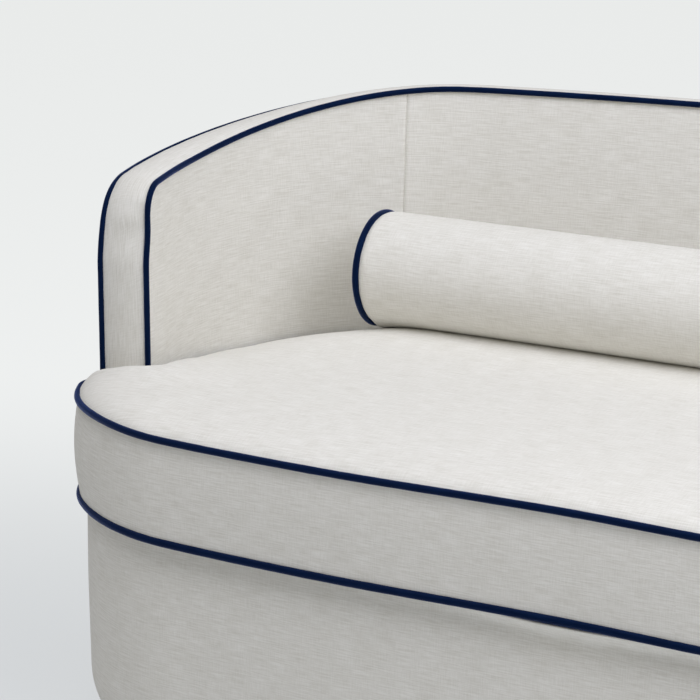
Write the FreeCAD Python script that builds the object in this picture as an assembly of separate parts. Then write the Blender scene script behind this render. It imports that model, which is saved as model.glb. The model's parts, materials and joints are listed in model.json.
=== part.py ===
import FreeCAD, Part
import math
import os
from FreeCAD import Vector

os.makedirs("parts", exist_ok=True)

# Three-seater barrel sofa. Millimetres, +Z up, front faces -Y, origin on the floor under the middle.

# Levels
FLOOR_GAP = 15.0           # bottom edge of the base cover
RAIL_LOW_Z = 87.0          # underside of the base rails, where the base starts to round under
DECK_Z = 350.0             # top of the base, where the walls start and the cushion lies
DECK_BUILD = 10.0          # webbing, pad and cloth over the rails
CUSHION_SINK = 8.0         # cushion's underside below its lower piping
CUSHION_HEIGHT = 150.0     # between the two cushion pipings
CROWN = 27.5               # rise of the seat above the upper piping
ARM_TOP_Z = 796.0          # arm height at its front, before the rounding
BACK_RISE = 84.0           # how much higher the back is than the arm front

# Plan: back arc, corner arc and an arm line that toes in, at three levels
CORNER_Y = -66.0           # widest place of the back's sweep
HALF_WIDTH = 972.0         # inside the arms
BACK_Y = 393.0             # inner top edge, middle of the back
CORNER_RADIUS = 400.0      # inner top edge, corner
INSIDE_LEAN = 51.0         # inside back at seat height, forward of its top
INSIDE_CORNER = 40.0       # corner radius lost at seat height
OUTSIDE_LEAN = 46.0        # outside back at deck height, forward of its top
OUTSIDE_CORNER = 44.0      # corner radius lost at deck height
TOE_IN = 8.0               # degrees
ARM_FRONT_Y = -220.0
WALL = 74.0                # band width from inner to outer piping
ARM_ROUND = 72.0           # rounding of the arm's top front corner
RISE_RUN = 650.0           # path length over which the arm climbs to the back
BAND_TILT = 8.0            # degrees, outer edge of the back's band lower

# Upholstery
PIPE_R = 4.5
SEAM_GAP = 0.25            # clearance between sewn or stacked pieces
BAND_THICK = 4.5
PAD_THICK = 28.0
PAD_CROWN = 2.0
OUTSIDE_THICK = 8.0
SEAM_X = 782.0             # seams between arms and back, inside and outside

# Base
FRONT_Y = -459.0
FRONT_RADIUS = 16000.0
FRONT_CORNER_RADIUS = 270.0
BASE_COVER = 14.0          # padding and fabric together
TUCK = 25.0                # how far the base's lower edge rounds under
SIDE_SEAM = 0.5            # share of the straight side before the seam of the base covers

# Frame
WOOD_GAP = 0.3
RAIL_THICK = 25.0
CLEAT_THICK = 20.0
CLEAT_LENGTH = 45.0        # each side of a rail joint
CLEAT_MARGIN = 20.0        # below the rail's top and above its underside
BOARD_LOW_Z = 33.0
BOARD_THICK = 18.0
BOARD_WIDTH = 90.0
BOARD_INSET = 70.0
RIB_THICK = 18.0
RIB_DEPTH = 60.0
RIB_X = (150.0, 450.0)
RIB_CORNER = (0.25, 0.75)  # shares of a corner
STRETCHER_X = 345.0
STRETCHER_THICK = 25.0
STRETCHER_HEIGHT = 120.0
WEB_RAIL_Y = 245.0
WEB_RAIL_THICK = 25.0
TOP_RAIL_HEIGHT = 30.0
POST_DEPTH = 95.0
UPRIGHT_WIDTH = 36.0
UPRIGHT_CLEAR = 3.0
UPRIGHT_CORNER = (1 / 3, 3 / 4)   # shares of the corner
UPRIGHT_BACK = (1 / 6, 2 / 3)     # shares of the half back

# Webbing and deck
WEB_WIDTH = 70.0
WEB_THICK = 2.5
WEB_PITCH = 125.0
WEB_PAIRS = 5
WEB_CLEAR = 10.0           # between straps and the posts and uprights
DECK_CLOTH = 1.0

# Feet
FOOT_R = 28.0
FOOT_TAPER = 5.0
GLIDE_R = 14.0
GLIDE_THICK = 3.0
BOLT_R = 4.0
BOLT_FIT = 0.1
BOLT_REACH = 18.0          # bolt length inside the foot
BOLT_HEAD_R = 9.0
BOLT_HEAD = 4.0
DUST_COVER = 1.0
DUST_MARGIN = 8.0          # inside the edge of the bottom boards
DUST_HOLE = 0.5            # round the feet

# Seat cushion
OVERHANG = 8.0             # cushion edge beyond the base front
PIPE_CLEAR = 1.0           # cushion piping to wall piping
EAR_FILLET = 26.0
EAR_FILLET_LEAST = 5.0
NOTCH_FILLET = 6.0
COVER_THICK = 10.0
BOX_BULGE = 3.0
GUTTER_INSET = 1.5         # beside the upper and lower piping
GUTTER_RISE = 2.0
CROWN_INSETS = (20.0, 45.0, 80.0)
CROWN_SHARES = (0.5, 0.8, 1.0)
UNDER_INSET = 22.0

# Bolster
BOLSTER_R = 88.0
BOLSTER_LENGTH = 1524.0
BOLSTER_GAP = 15.0         # between its ends and the inside back
BOLSTER_COVER = 6.0
BOLSTER_DOME = 12.0

# Zips
ZIP_HEIGHT = 24.0
ZIP_THICK = 1.2
SLIDER_LENGTH = 14.0
SLIDER_HEIGHT = 9.0
SLIDER_THICK = 2.0
SEAT_ZIP_HALF = 520.0
BOLSTER_ZIP_HALF = 450.0
BOLSTER_ZIP_ANGLE = -40.0  # degrees below the level, on the bolster's rear
REST_GAP = 0.3             # between pieces that lift off and what they rest on

# Smoothness of the lofts
CORNER_STEPS = 12
BACK_STEPS = 6
ROUND_STEPS = 6

FAR = 3000.0
toe = math.radians(TOE_IN)
arm_dir = Vector(math.sin(toe), -math.cos(toe), 0)
arm_normal = Vector(-math.cos(toe), -math.sin(toe), 0)
notch = PIPE_R + SEAM_GAP
rail_top_z = DECK_Z - DECK_BUILD
pipe_low_z = DECK_Z + CUSHION_SINK
pipe_high_z = pipe_low_z + CUSHION_HEIGHT
seat_z = pipe_high_z + CROWN
base_half = HALF_WIDTH + WALL
edge_gap = 2 * PIPE_R + PIPE_CLEAR


# Small helpers

def save(shape, name):
    shape.exportStep("parts/%s.step" % name)


def save_group(shapes, name):
    save(Part.makeCompound(shapes), name)


def box(x0, x1, y0, y1, z0, z1):
    return Part.makeBox(x1 - x0, y1 - y0, z1 - z0, Vector(x0, y0, z0))


def mirrored(shape):
    return shape.mirror(Vector(0, 0, 0), Vector(1, 0, 0))


def save_pair(left, name):
    save(left, name + "_left")
    save(mirrored(left), name + "_right")


def polygon(points):
    return Part.makePolygon(list(points) + [points[0]])


def line_edge(first, last):
    return Part.LineSegment(first, last).toShape()


def arc_edge(first, middle, last):
    return Part.Arc(first, middle, last).toShape()


def polar(centre, radius, angle):
    return centre + Vector(math.cos(angle), math.sin(angle), 0) * radius


def arc_about(centre, radius, start, end):
    spots = [polar(centre, radius, angle) for angle in (start, (start + end) / 2, end)]
    return arc_edge(*spots)


def smoothstep(t):
    t = max(0.0, min(1.0, t))
    return t * t * (3 - 2 * t)


def joined(solids):
    whole_solid = solids[0].multiFuse(solids[1:]) if len(solids) > 1 else solids[0]
    return whole_solid.removeSplitter()


# Plan of the wall at one level

class Plan:
    """Half of a sweep from arm front to the middle of the back, mirrored about x = 0."""

    def __init__(self, half_width, back_y, corner_radius):
        across = half_width - corner_radius
        depth = back_y - CORNER_Y - corner_radius
        self.turn = 2 * math.atan2(depth, across)
        self.corner_radius = corner_radius
        self.back_radius = across / math.sin(self.turn) + corner_radius
        self.corner = Vector(-across, CORNER_Y, 0)
        self.back = Vector(0, back_y - self.back_radius, 0)
        self.arc_end = polar(self.corner, corner_radius, math.pi + toe)

    def grown(self, offset):
        return Plan(-self.corner.x + self.corner_radius + offset,
                    self.back.y + self.back_radius + offset, self.corner_radius + offset)


base_corner = CORNER_RADIUS + WALL - OUTSIDE_CORNER
top_plan = Plan(HALF_WIDTH, BACK_Y, CORNER_RADIUS)
seat_plan = Plan(HALF_WIDTH, BACK_Y - INSIDE_LEAN, CORNER_RADIUS - INSIDE_CORNER)
base_plan = Plan(base_half, BACK_Y + WALL - OUTSIDE_LEAN, base_corner)
arm_run = (top_plan.arc_end.y - ARM_FRONT_Y) / math.cos(toe)
arm_front = top_plan.arc_end + arm_dir * arm_run
corner_sweep = math.pi / 2 + toe - top_plan.turn
corner_run = CORNER_RADIUS * corner_sweep
zone_lengths = {"arm": arm_run, "corner": corner_run, "back": top_plan.back_radius * top_plan.turn}
zone_starts = {"arm": 0.0, "corner": arm_run, "back": arm_run + corner_run}


def plan_point(plan, zone, share):
    """Point and outward normal of a plan: zone is arm, corner or back, share runs towards the middle."""
    if zone == "arm":
        run = (arm_front - plan.arc_end).dot(arm_dir)
        return plan.arc_end + arm_dir * (run - share * arm_run), arm_normal
    if zone == "corner":
        angle = math.pi + toe - (math.pi / 2 + toe - plan.turn) * share
        return polar(plan.corner, plan.corner_radius, angle), polar(Vector(), 1, angle)
    angle = math.pi / 2 + plan.turn * (1 - share)
    return polar(plan.back, plan.back_radius, angle), polar(Vector(), 1, angle)


class Station:
    """One place along the wall, where a cross-section of every layer stands."""

    def __init__(self, zone, share):
        self.top, self.normal = plan_point(top_plan, zone, share)
        self.seat, self.seat_normal = plan_point(seat_plan, zone, share)
        self.base, self.base_normal = plan_point(base_plan, zone, share)
        self.zone, self.share = zone, share
        self.d = zone_starts[zone] + zone_lengths[zone] * share
        self.slope = math.tan(math.radians(BAND_TILT)) * smoothstep(self.d / RISE_RUN)

    def crest(self, inset):
        """Height of the inner top edge, lowered by inset and rounded over the arm front."""
        z = ARM_TOP_Z + BACK_RISE * smoothstep(self.d / RISE_RUN) - inset
        if self.d < ARM_ROUND:
            reach = ARM_ROUND - inset
            share = min(1.0, (ARM_ROUND - self.d) / reach)
            z -= reach * (1 - math.sqrt(1 - share * share))
        return z

    def on_top(self, offset, inset=0.0):
        spot = self.top + self.normal * offset
        return Vector(spot.x, spot.y, self.crest(inset) - self.slope * offset)

    def inside(self, offset, z):
        """Point of the leaning inside face, upright below the cushion's top."""
        share = max(0.0, min(1.0, (self.crest(notch) - z) / (self.crest(notch) - pipe_high_z)))
        upper = self.top + self.normal * offset
        lower = self.seat + self.seat_normal * offset
        spot = upper * (1 - share) + lower * share
        return Vector(spot.x, spot.y, z)

    def outside(self, offset, z):
        """Point of the leaning outside face, offset counted from the inner edge."""
        share = (self.crest(notch) - z) / (self.crest(notch) - DECK_Z)
        upper = self.top + self.normal * offset
        lower = self.base + self.base_normal * (offset - WALL)
        spot = upper * (1 - share) + lower * share
        return Vector(spot.x, spot.y, z)


def round_distances(inset):
    reach = ARM_ROUND - inset
    return [inset + reach * (1 - math.cos(math.pi / 2 * k / ROUND_STEPS)) for k in range(ROUND_STEPS + 1)]


def sweep_stations():
    """From the end of the left arm to the middle of the back."""
    corner = [Station("corner", k / CORNER_STEPS) for k in range(CORNER_STEPS + 1)]
    back = [Station("back", k / BACK_STEPS) for k in range(1, BACK_STEPS + 1)]
    return corner + back


def wall_stations(inset):
    front = [Station("arm", d / arm_run) for d in round_distances(inset)]
    return front + sweep_stations()


def whole(left):
    """Sections of the left half and their mirror images, in order along the wall."""
    right = [[Vector(-p.x, p.y, p.z) for p in section] for section in reversed(left[:-1])]
    return left + right


def loft(sections):
    return Part.makeLoft([polygon(s) for s in sections], True, True)


def split(shape):
    """Left and middle piece of a wall layer, cut at the seams."""
    left = shape.common(box(-FAR, -SEAM_X, -FAR, FAR, -FAR, FAR))
    middle = shape.common(box(-SEAM_X + SEAM_GAP, SEAM_X - SEAM_GAP, -FAR, FAR, -FAR, FAR))
    return left, middle


# Wall: pads, outside covers, band and pipings

def inside_section(s):
    top = s.crest(notch)
    middle = (top + pipe_high_z) / 2
    corners = [(0, DECK_Z), (0, pipe_high_z), (-PAD_CROWN, middle), (0, top),
               (PAD_THICK, top - s.slope * PAD_THICK), (PAD_THICK, pipe_high_z), (PAD_THICK, DECK_Z)]
    return [s.inside(o, z) for o, z in corners]


def outside_section(s):
    top = s.crest(notch)
    inner = WALL - OUTSIDE_THICK
    corners = [(inner, DECK_Z), (inner, top - s.slope * inner), (WALL, top - s.slope * WALL), (WALL, DECK_Z)]
    return [s.outside(o, z) for o, z in corners]


def make_wall_covers():
    stations = wall_stations(notch)
    left, middle = split(loft(whole([inside_section(s) for s in stations])))
    save_pair(left, "inside_arm_pad")
    save(middle, "inside_back_pad")
    left, middle = split(loft(whole([outside_section(s) for s in stations])))
    save_pair(left, "outside_arm_cover")
    save(middle, "outside_back_cover")


def make_band():
    inner = notch
    outer = WALL - notch
    front = Station("arm", 0)
    behind = Station("arm", BAND_THICK / arm_run)
    sections = []
    foot = [front.on_top(inner), front.on_top(outer),
            behind.on_top(outer, BAND_THICK), behind.on_top(inner, BAND_THICK)]
    sections.append([Vector(p.x, p.y, DECK_Z) for p in foot])
    for d, d_in in zip(round_distances(0), round_distances(BAND_THICK)):
        face = Station("arm", d / arm_run)
        deep = Station("arm", d_in / arm_run)
        sections.append([face.on_top(inner), face.on_top(outer),
                         deep.on_top(outer, BAND_THICK), deep.on_top(inner, BAND_THICK)])
    for s in sweep_stations():
        sections.append([s.on_top(inner), s.on_top(outer),
                         s.on_top(outer, BAND_THICK), s.on_top(inner, BAND_THICK)])
    save(loft(whole(sections)), "top_band")


def ring(centre, forward, across):
    """Circle of a piping, square to its path, as three arcs."""
    side = forward.cross(across).normalize()
    lift = side.cross(forward).normalize()

    def at(share):
        angle = 2 * math.pi * share
        return centre + lift * (PIPE_R * math.cos(angle)) + side * (PIPE_R * math.sin(angle))

    return Part.Wire([arc_edge(at(k / 3), at((k + 0.5) / 3), at((k + 1) / 3)) for k in range(3)])


def wall_piping(offset):
    stations = wall_stations(0)
    points = [s.on_top(offset) for s in stations]
    across = [s.normal for s in stations]
    points.insert(0, Vector(points[0].x, points[0].y, DECK_Z))
    across.insert(0, across[0])
    points += [Vector(-p.x, p.y, p.z) for p in reversed(points[:-1])]
    across += [Vector(-n.x, n.y, n.z) for n in reversed(across[:-1])]
    rings = []
    for k, point in enumerate(points):
        before = points[max(k - 1, 0)]
        after = points[min(k + 1, len(points) - 1)]
        rings.append(ring(point, (after - before).normalize(), across[k]))
    return Part.makeLoft(rings, True, True)


# Base outline: segments with their outward offset, swept exactly

class Arc:
    def __init__(self, centre, radius, start, end):
        self.centre, self.radius, self.start, self.end = centre, radius, start, end

    def spot(self, offset, z, share=0.0):
        angle = self.start + (self.end - self.start) * share
        spot = polar(self.centre, self.radius + offset, angle)
        return Vector(spot.x, spot.y, z)

    def normal(self, share):
        return polar(Vector(), 1, self.start + (self.end - self.start) * share)

    def swept(self, face):
        return face.revolve(self.centre, Vector(0, 0, 1), math.degrees(self.end - self.start))

    def edge(self, offset):
        return arc_about(self.centre, self.radius + offset, self.start, self.end)

    def length(self):
        return self.radius * abs(self.end - self.start)

    def part(self, first, last):
        span = self.end - self.start
        return Arc(self.centre, self.radius, self.start + span * first, self.start + span * last)


class Line:
    def __init__(self, start, end, outward):
        self.start, self.end, self.outward = start, end, outward

    def spot(self, offset, z, share=0.0):
        spot = self.start + (self.end - self.start) * share + self.outward * offset
        return Vector(spot.x, spot.y, z)

    def normal(self, share):
        return self.outward

    def swept(self, face):
        return face.extrude(self.end - self.start)

    def edge(self, offset):
        return line_edge(self.spot(offset, 0), self.spot(offset, 0, 1))

    def length(self):
        return (self.end - self.start).Length

    def part(self, first, last):
        run = self.end - self.start
        return Line(self.start + run * first, self.start + run * last, self.outward)


front_centre = Vector(0, FRONT_Y + FRONT_RADIUS, 0)
front_corner_x = base_half - FRONT_CORNER_RADIUS
front_turn = math.asin(front_corner_x / (FRONT_RADIUS - FRONT_CORNER_RADIUS))
front_corner_y = front_centre.y - (FRONT_RADIUS - FRONT_CORNER_RADIUS) * math.cos(front_turn)
front_corner = Vector(-front_corner_x, front_corner_y, 0)
LEFT = Vector(-1, 0, 0)

# Left half of the outline, from the middle of the front round to the middle of the back
seg_front = Arc(front_centre, FRONT_RADIUS, -math.pi / 2, -math.pi / 2 - front_turn)
seg_front_corner = Arc(front_corner, FRONT_CORNER_RADIUS, -math.pi / 2 - front_turn, -math.pi)
side_start = Vector(-base_half, front_corner.y, 0)
side_end = Vector(-base_half, CORNER_Y, 0)
seg_side = Line(side_start, side_end, LEFT)
seg_back_corner = Arc(base_plan.corner, base_corner, math.pi, math.pi / 2 + base_plan.turn)
seg_back = Arc(base_plan.back, base_plan.back_radius, math.pi / 2 + base_plan.turn, math.pi / 2)
outline_left = [seg_front, seg_front_corner, seg_side, seg_back_corner, seg_back]


def outline_wire(offset, z):
    left = [s.edge(offset) for s in outline_left]
    wire = Part.Wire(Part.__sortEdges__(left + [mirrored(e) for e in left]))
    wire.translate(Vector(0, 0, z))
    return wire


def swept_box(segments, inner, outer, z0, z1):
    """Board that follows outline segments between two offsets."""
    solids = []
    for s in segments:
        corners = [s.spot(inner, z0), s.spot(outer, z0), s.spot(outer, z1), s.spot(inner, z1)]
        solids.append(s.swept(Part.Face(polygon(corners))))
    return joined(solids)


# Base cover with its rounded lower edge

tuck_height = RAIL_LOW_Z - FLOOR_GAP
tuck_radius = (TUCK ** 2 + tuck_height ** 2) / (2 * TUCK)


def tuck_offset(z, depth):
    """Offset of the rounded lower edge at height z, depth inside the cover's face."""
    return math.sqrt((tuck_radius - depth) ** 2 - (RAIL_LOW_Z - z) ** 2) - tuck_radius


def base_face(s):
    top = DECK_Z - SEAM_GAP
    middle_z = (RAIL_LOW_Z + FLOOR_GAP) / 2
    outer_low = tuck_offset(FLOOR_GAP, 0)
    inner_low = tuck_offset(FLOOR_GAP, BASE_COVER)
    edges = [
        line_edge(s.spot(0, top), s.spot(0, RAIL_LOW_Z)),
        arc_edge(s.spot(0, RAIL_LOW_Z), s.spot(tuck_offset(middle_z, 0), middle_z),
                 s.spot(outer_low, FLOOR_GAP)),
        line_edge(s.spot(outer_low, FLOOR_GAP), s.spot(inner_low, FLOOR_GAP)),
        arc_edge(s.spot(inner_low, FLOOR_GAP), s.spot(tuck_offset(middle_z, BASE_COVER), middle_z),
                 s.spot(-BASE_COVER, RAIL_LOW_Z)),
        line_edge(s.spot(-BASE_COVER, RAIL_LOW_Z), s.spot(-BASE_COVER, top)),
        line_edge(s.spot(-BASE_COVER, top), s.spot(0, top)),
    ]
    return Part.Face(Part.Wire(edges))


def make_base_covers():
    gap_share = SEAM_GAP / seg_side.length()
    front = [seg_front, seg_front_corner, seg_side.part(0, SIDE_SEAM)]
    rear = [seg_side.part(SIDE_SEAM + gap_share, 1), seg_back_corner, seg_back]
    for name, segments in (("base_cover_front", front), ("base_cover_rear", rear)):
        half = joined([s.swept(base_face(s)) for s in segments])
        save(joined([half, mirrored(half)]), name)


# Wooden frame

rail_outer = -BASE_COVER - WOOD_GAP
rail_inner = rail_outer - RAIL_THICK


def make_rails():
    for name, segment in (("front_rail", seg_front), ("back_rail", seg_back)):
        half = swept_box([segment], rail_inner, rail_outer, RAIL_LOW_Z, rail_top_z)
        save(joined([half, mirrored(half)]), name)
    for name, segment in (("front_corner_rail", seg_front_corner), ("side_rail", seg_side),
                          ("back_corner_rail", seg_back_corner)):
        save_pair(swept_box([segment], rail_inner, rail_outer, RAIL_LOW_Z, rail_top_z), name)


def cleat(before, between, after):
    """Cleat behind a rail joint, or behind two joints and the rail between them."""
    start = before.part(1 - CLEAT_LENGTH / before.length(), 1)
    end = after.part(0, CLEAT_LENGTH / after.length())
    return swept_box([start] + between + [end], rail_inner - CLEAT_THICK, rail_inner,
                     RAIL_LOW_Z + CLEAT_MARGIN, rail_top_z - CLEAT_MARGIN)


def make_cleats():
    left = [cleat(seg_front, [], seg_front_corner), cleat(seg_front_corner, [seg_side], seg_back_corner),
            cleat(seg_back_corner, [], seg_back)]
    save_group(left + [mirrored(c) for c in left], "rail_cleats")


board_top_z = BOARD_LOW_Z + BOARD_THICK
board_middle = -BOARD_INSET - BOARD_WIDTH / 2
foot_spots = {
    "foot_front_centre": seg_front.spot(board_middle, 0, 0),
    "foot_back_centre": seg_back.spot(board_middle, 0, 1),
    "foot_front_left": seg_front_corner.spot(board_middle, 0, 0.5),
    "foot_back_left": seg_back_corner.spot(board_middle, 0, 0.5),
}
for side in ("front", "back"):
    spot = foot_spots["foot_%s_left" % side]
    foot_spots["foot_%s_right" % side] = Vector(-spot.x, spot.y, 0)


def bolt_hole(spot):
    low = Vector(spot.x, spot.y, BOARD_LOW_Z - BOLT_REACH)
    return Part.makeCylinder(BOLT_R + BOLT_FIT, BOLT_REACH + BOARD_THICK, low)


def make_boards():
    holes = Part.makeCompound([bolt_hole(spot) for spot in foot_spots.values()])
    inner = -BOARD_INSET - BOARD_WIDTH
    for name, segment in (("bottom_board_front", seg_front), ("bottom_board_back", seg_back)):
        half = swept_box([segment], inner, -BOARD_INSET, BOARD_LOW_Z, board_top_z)
        save(joined([half, mirrored(half)]).cut(holes), name)
    side = [seg_front_corner, seg_side, seg_back_corner]
    save_pair(swept_box(side, inner, -BOARD_INSET, BOARD_LOW_Z, board_top_z).cut(holes), "bottom_board")


def rib(segment, share):
    """Rib between bottom board and rail, its outer edge following the rounded base."""
    depth = BASE_COVER + WOOD_GAP
    middle_z = (RAIL_LOW_Z + board_top_z) / 2
    low = tuck_offset(board_top_z, depth)
    back = -BOARD_INSET - RIB_DEPTH

    def at(offset, z):
        return segment.spot(offset, z, share)

    edges = [
        arc_edge(at(-depth, RAIL_LOW_Z), at(tuck_offset(middle_z, depth), middle_z), at(low, board_top_z)),
        line_edge(at(low, board_top_z), at(back, board_top_z)),
        line_edge(at(back, board_top_z), at(back, RAIL_LOW_Z)),
        line_edge(at(back, RAIL_LOW_Z), at(-depth, RAIL_LOW_Z)),
    ]
    along = segment.normal(share).cross(Vector(0, 0, 1)) * RIB_THICK
    solid = Part.Face(Part.Wire(edges)).extrude(along)
    solid.translate(along * -0.5)
    return solid


def make_ribs():
    ribs = []
    for x in RIB_X:
        ribs.append(rib(seg_front, math.asin(x / seg_front.radius) / front_turn))
        ribs.append(rib(seg_back, 1 - math.asin(x / seg_back.radius) / base_plan.turn))
    for segment in (seg_front_corner, seg_back_corner):
        ribs += [rib(segment, share) for share in RIB_CORNER]
    save_group(ribs + [mirrored(r) for r in ribs], "base_ribs")


def front_y(x, offset):
    return front_centre.y - math.sqrt((FRONT_RADIUS + offset) ** 2 - x ** 2)


def back_y(x, offset):
    return base_plan.back.y + math.sqrt((base_plan.back_radius + offset) ** 2 - x ** 2)


def half_at(y, offset):
    """Half width of the outline at y."""
    segment = seg_front_corner if y < front_corner.y else seg_back_corner
    reach = math.sqrt((segment.radius + offset) ** 2 - (y - segment.centre.y) ** 2)
    return reach - segment.centre.x


def make_stretchers():
    near = STRETCHER_X - STRETCHER_THICK / 2
    far = STRETCHER_X + STRETCHER_THICK / 2
    stretcher = box(-far, -near, front_y(far, rail_inner) + WOOD_GAP, back_y(far, rail_inner) - WOOD_GAP,
                    RAIL_LOW_Z, RAIL_LOW_Z + STRETCHER_HEIGHT)
    save_pair(stretcher, "cross_stretcher")
    half = half_at(WEB_RAIL_Y + WEB_RAIL_THICK, rail_inner) - WOOD_GAP
    save(box(-half, half, WEB_RAIL_Y, WEB_RAIL_Y + WEB_RAIL_THICK, RAIL_LOW_Z + STRETCHER_HEIGHT, rail_top_z),
         "webbing_rail")


def top_rail_section(s):
    top = s.crest(notch) - SEAM_GAP
    inner = PAD_THICK + WOOD_GAP
    outer = WALL - OUTSIDE_THICK - WOOD_GAP
    rows = [(inner, TOP_RAIL_HEIGHT), (inner, 0), (outer, 0), (outer, TOP_RAIL_HEIGHT)]
    return [s.outside(o, top - s.slope * o - deep) for o, deep in rows]


def make_top_rails():
    start = Station("arm", ARM_ROUND / arm_run)
    left, middle = split(loft(whole([top_rail_section(s) for s in [start] + sweep_stations()])))
    save_pair(left, "arm_top_rail")
    save(middle, "back_top_rail")


def make_posts():
    start = Station("arm", ARM_ROUND / arm_run)
    inner = PAD_THICK + WOOD_GAP
    outer = WALL - BASE_COVER - UPRIGHT_CLEAR
    top = top_rail_section(start)[3].z - WOOD_GAP
    shoulder = Station("arm", notch / arm_run).crest(notch)
    depths = (notch + WOOD_GAP, notch + WOOD_GAP, ARM_ROUND, POST_DEPTH, POST_DEPTH)
    heights = (rail_top_z, shoulder, top, top, rail_top_z)
    profile = []
    for d, z in zip(depths, heights):
        spot = arm_front - arm_dir * d + arm_normal * inner
        profile.append(Vector(spot.x, spot.y, z))
    post = Part.Face(polygon(profile)).extrude(arm_normal * (outer - inner))
    save_pair(post, "arm_post")


def upright(s):
    reach = UPRIGHT_WIDTH / 2 / zone_lengths[s.zone]
    ends = [Station(s.zone, s.share - reach), Station(s.zone, s.share + reach)]
    top = min(top_rail_section(end)[3].z for end in ends) - WOOD_GAP
    along = s.normal.cross(Vector(0, 0, 1)) * (UPRIGHT_WIDTH / 2)
    sections = []
    for z in (rail_top_z, top):
        near = s.inside(PAD_THICK + UPRIGHT_CLEAR, z)
        far = s.outside(WALL - BASE_COVER - UPRIGHT_CLEAR, z)
        sections.append([near - along, far - along, far + along, near + along])
    return loft(sections)


def make_uprights():
    left = [upright(Station("corner", share)) for share in UPRIGHT_CORNER]
    left += [upright(Station("back", share)) for share in UPRIGHT_BACK]
    save_group(left + [mirrored(u) for u in left], "back_uprights")


def make_feet():
    bolts = []
    glides = []
    for name, spot in foot_spots.items():
        base = Vector(spot.x, spot.y, GLIDE_THICK)
        foot = Part.makeCone(FOOT_R - FOOT_TAPER, FOOT_R, BOARD_LOW_Z - GLIDE_THICK, base)
        save(foot.cut(bolt_hole(spot)), name)
        glides.append(Part.makeCylinder(GLIDE_R, GLIDE_THICK, Vector(spot.x, spot.y, 0)))
        low = Vector(spot.x, spot.y, BOARD_LOW_Z - BOLT_REACH)
        shank = Part.makeCylinder(BOLT_R, BOLT_REACH + BOARD_THICK, low)
        head = Part.makeCylinder(BOLT_HEAD_R, BOLT_HEAD, Vector(spot.x, spot.y, board_top_z))
        bolts.append(joined([shank, head]))
    save_group(bolts, "foot_bolts")
    save_group(glides, "foot_glides")


def make_dust_cover():
    outline = outline_wire(-BOARD_INSET - DUST_MARGIN, BOARD_LOW_Z - DUST_COVER)
    sheet = Part.Face(outline).extrude(Vector(0, 0, DUST_COVER))
    holes = [Part.makeCylinder(FOOT_R + DUST_HOLE, BOARD_LOW_Z, spot) for spot in foot_spots.values()]
    save(sheet.cut(Part.makeCompound(holes)), "dust_cover")


# Webbing and deck

web_top_z = rail_top_z + WEB_THICK
deck_low_z = web_top_z + WEB_THICK
deck_top_z = DECK_Z - REST_GAP


def make_webbing():
    straps = []
    for k in range(-WEB_PAIRS, WEB_PAIRS + 1):
        x = k * WEB_PITCH
        reach = abs(x) + WEB_WIDTH / 2
        straps.append(box(x - WEB_WIDTH / 2, x + WEB_WIDTH / 2, front_y(reach, rail_outer) + WOOD_GAP,
                          WEB_RAIL_Y + WEB_RAIL_THICK, rail_top_z, web_top_z))
    save_group(straps, "webbing_straps")
    post_back = ARM_FRONT_Y + POST_DEPTH
    pillar = upright(Station("corner", UPRIGHT_CORNER[0])).BoundBox
    room = WEB_CLEAR + WEB_WIDTH / 2
    crossing = []
    for y in (ARM_FRONT_Y - room, post_back + room, pillar.YMin - room, pillar.YMax + room):
        half = min(half_at(y - WEB_WIDTH / 2, rail_outer), half_at(y + WEB_WIDTH / 2, rail_outer)) - WOOD_GAP
        crossing.append(box(-half, half, y - WEB_WIDTH / 2, y + WEB_WIDTH / 2, web_top_z, deck_low_z))
    save_group(crossing, "cross_webbing_straps")


# Seat cushion outline: front arc, rounded corners, ears before the arms, sweep along the back

def line_circle(point, direction, centre, radius):
    """Where a line leaves a circle, in the given direction."""
    gap = point - centre
    half = gap.dot(direction)
    return point + direction * (math.sqrt(half * half - gap.dot(gap) + radius * radius) - half)


def foot_on_line(spot, point, direction):
    return point + direction * (spot - point).dot(direction)


def cushion_edges(inset):
    """Left half of the outline in plan, inset from the seam line, from the front to the back."""
    front_r = FRONT_RADIUS + OVERHANG - inset
    corner_r = FRONT_CORNER_RADIUS + OVERHANG - inset
    sweep = seat_plan.grown(-edge_gap - inset)
    ear_point = arm_front + arm_dir * (edge_gap + inset)
    fillet = max(EAR_FILLET - inset, EAR_FILLET_LEAST)
    ear_centre = line_circle(ear_point + arm_dir * fillet, arm_normal, front_corner, corner_r - fillet)
    outward = (ear_centre - front_corner).normalize()
    ear_start = front_corner + outward * corner_r
    ear_end = foot_on_line(ear_centre, ear_point, arm_normal)
    ear_middle = ear_centre + (outward - arm_dir).normalize() * fillet
    corner_angle = math.atan2(-outward.y, -outward.x) - math.pi
    notch_r = NOTCH_FILLET + inset
    inner_point = sweep.arc_end
    notch_centre = ear_point - arm_dir * notch_r
    notch_centre = foot_on_line(notch_centre, inner_point + arm_normal * notch_r, arm_dir)
    notch_start = foot_on_line(notch_centre, ear_point, arm_normal)
    notch_end = foot_on_line(notch_centre, inner_point, arm_dir)
    notch_middle = notch_centre + (arm_dir - arm_normal).normalize() * notch_r
    return [
        arc_about(front_centre, front_r, -math.pi / 2, -math.pi / 2 - front_turn),
        arc_about(front_corner, corner_r, -math.pi / 2 - front_turn, corner_angle),
        arc_edge(ear_start, ear_middle, ear_end),
        line_edge(ear_end, notch_start),
        arc_edge(notch_start, notch_middle, notch_end),
        line_edge(notch_end, inner_point),
        arc_about(sweep.corner, sweep.corner_radius, math.pi + toe, math.pi / 2 + sweep.turn),
        arc_about(sweep.back, sweep.back_radius, math.pi / 2 + sweep.turn, math.pi / 2),
    ]


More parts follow.
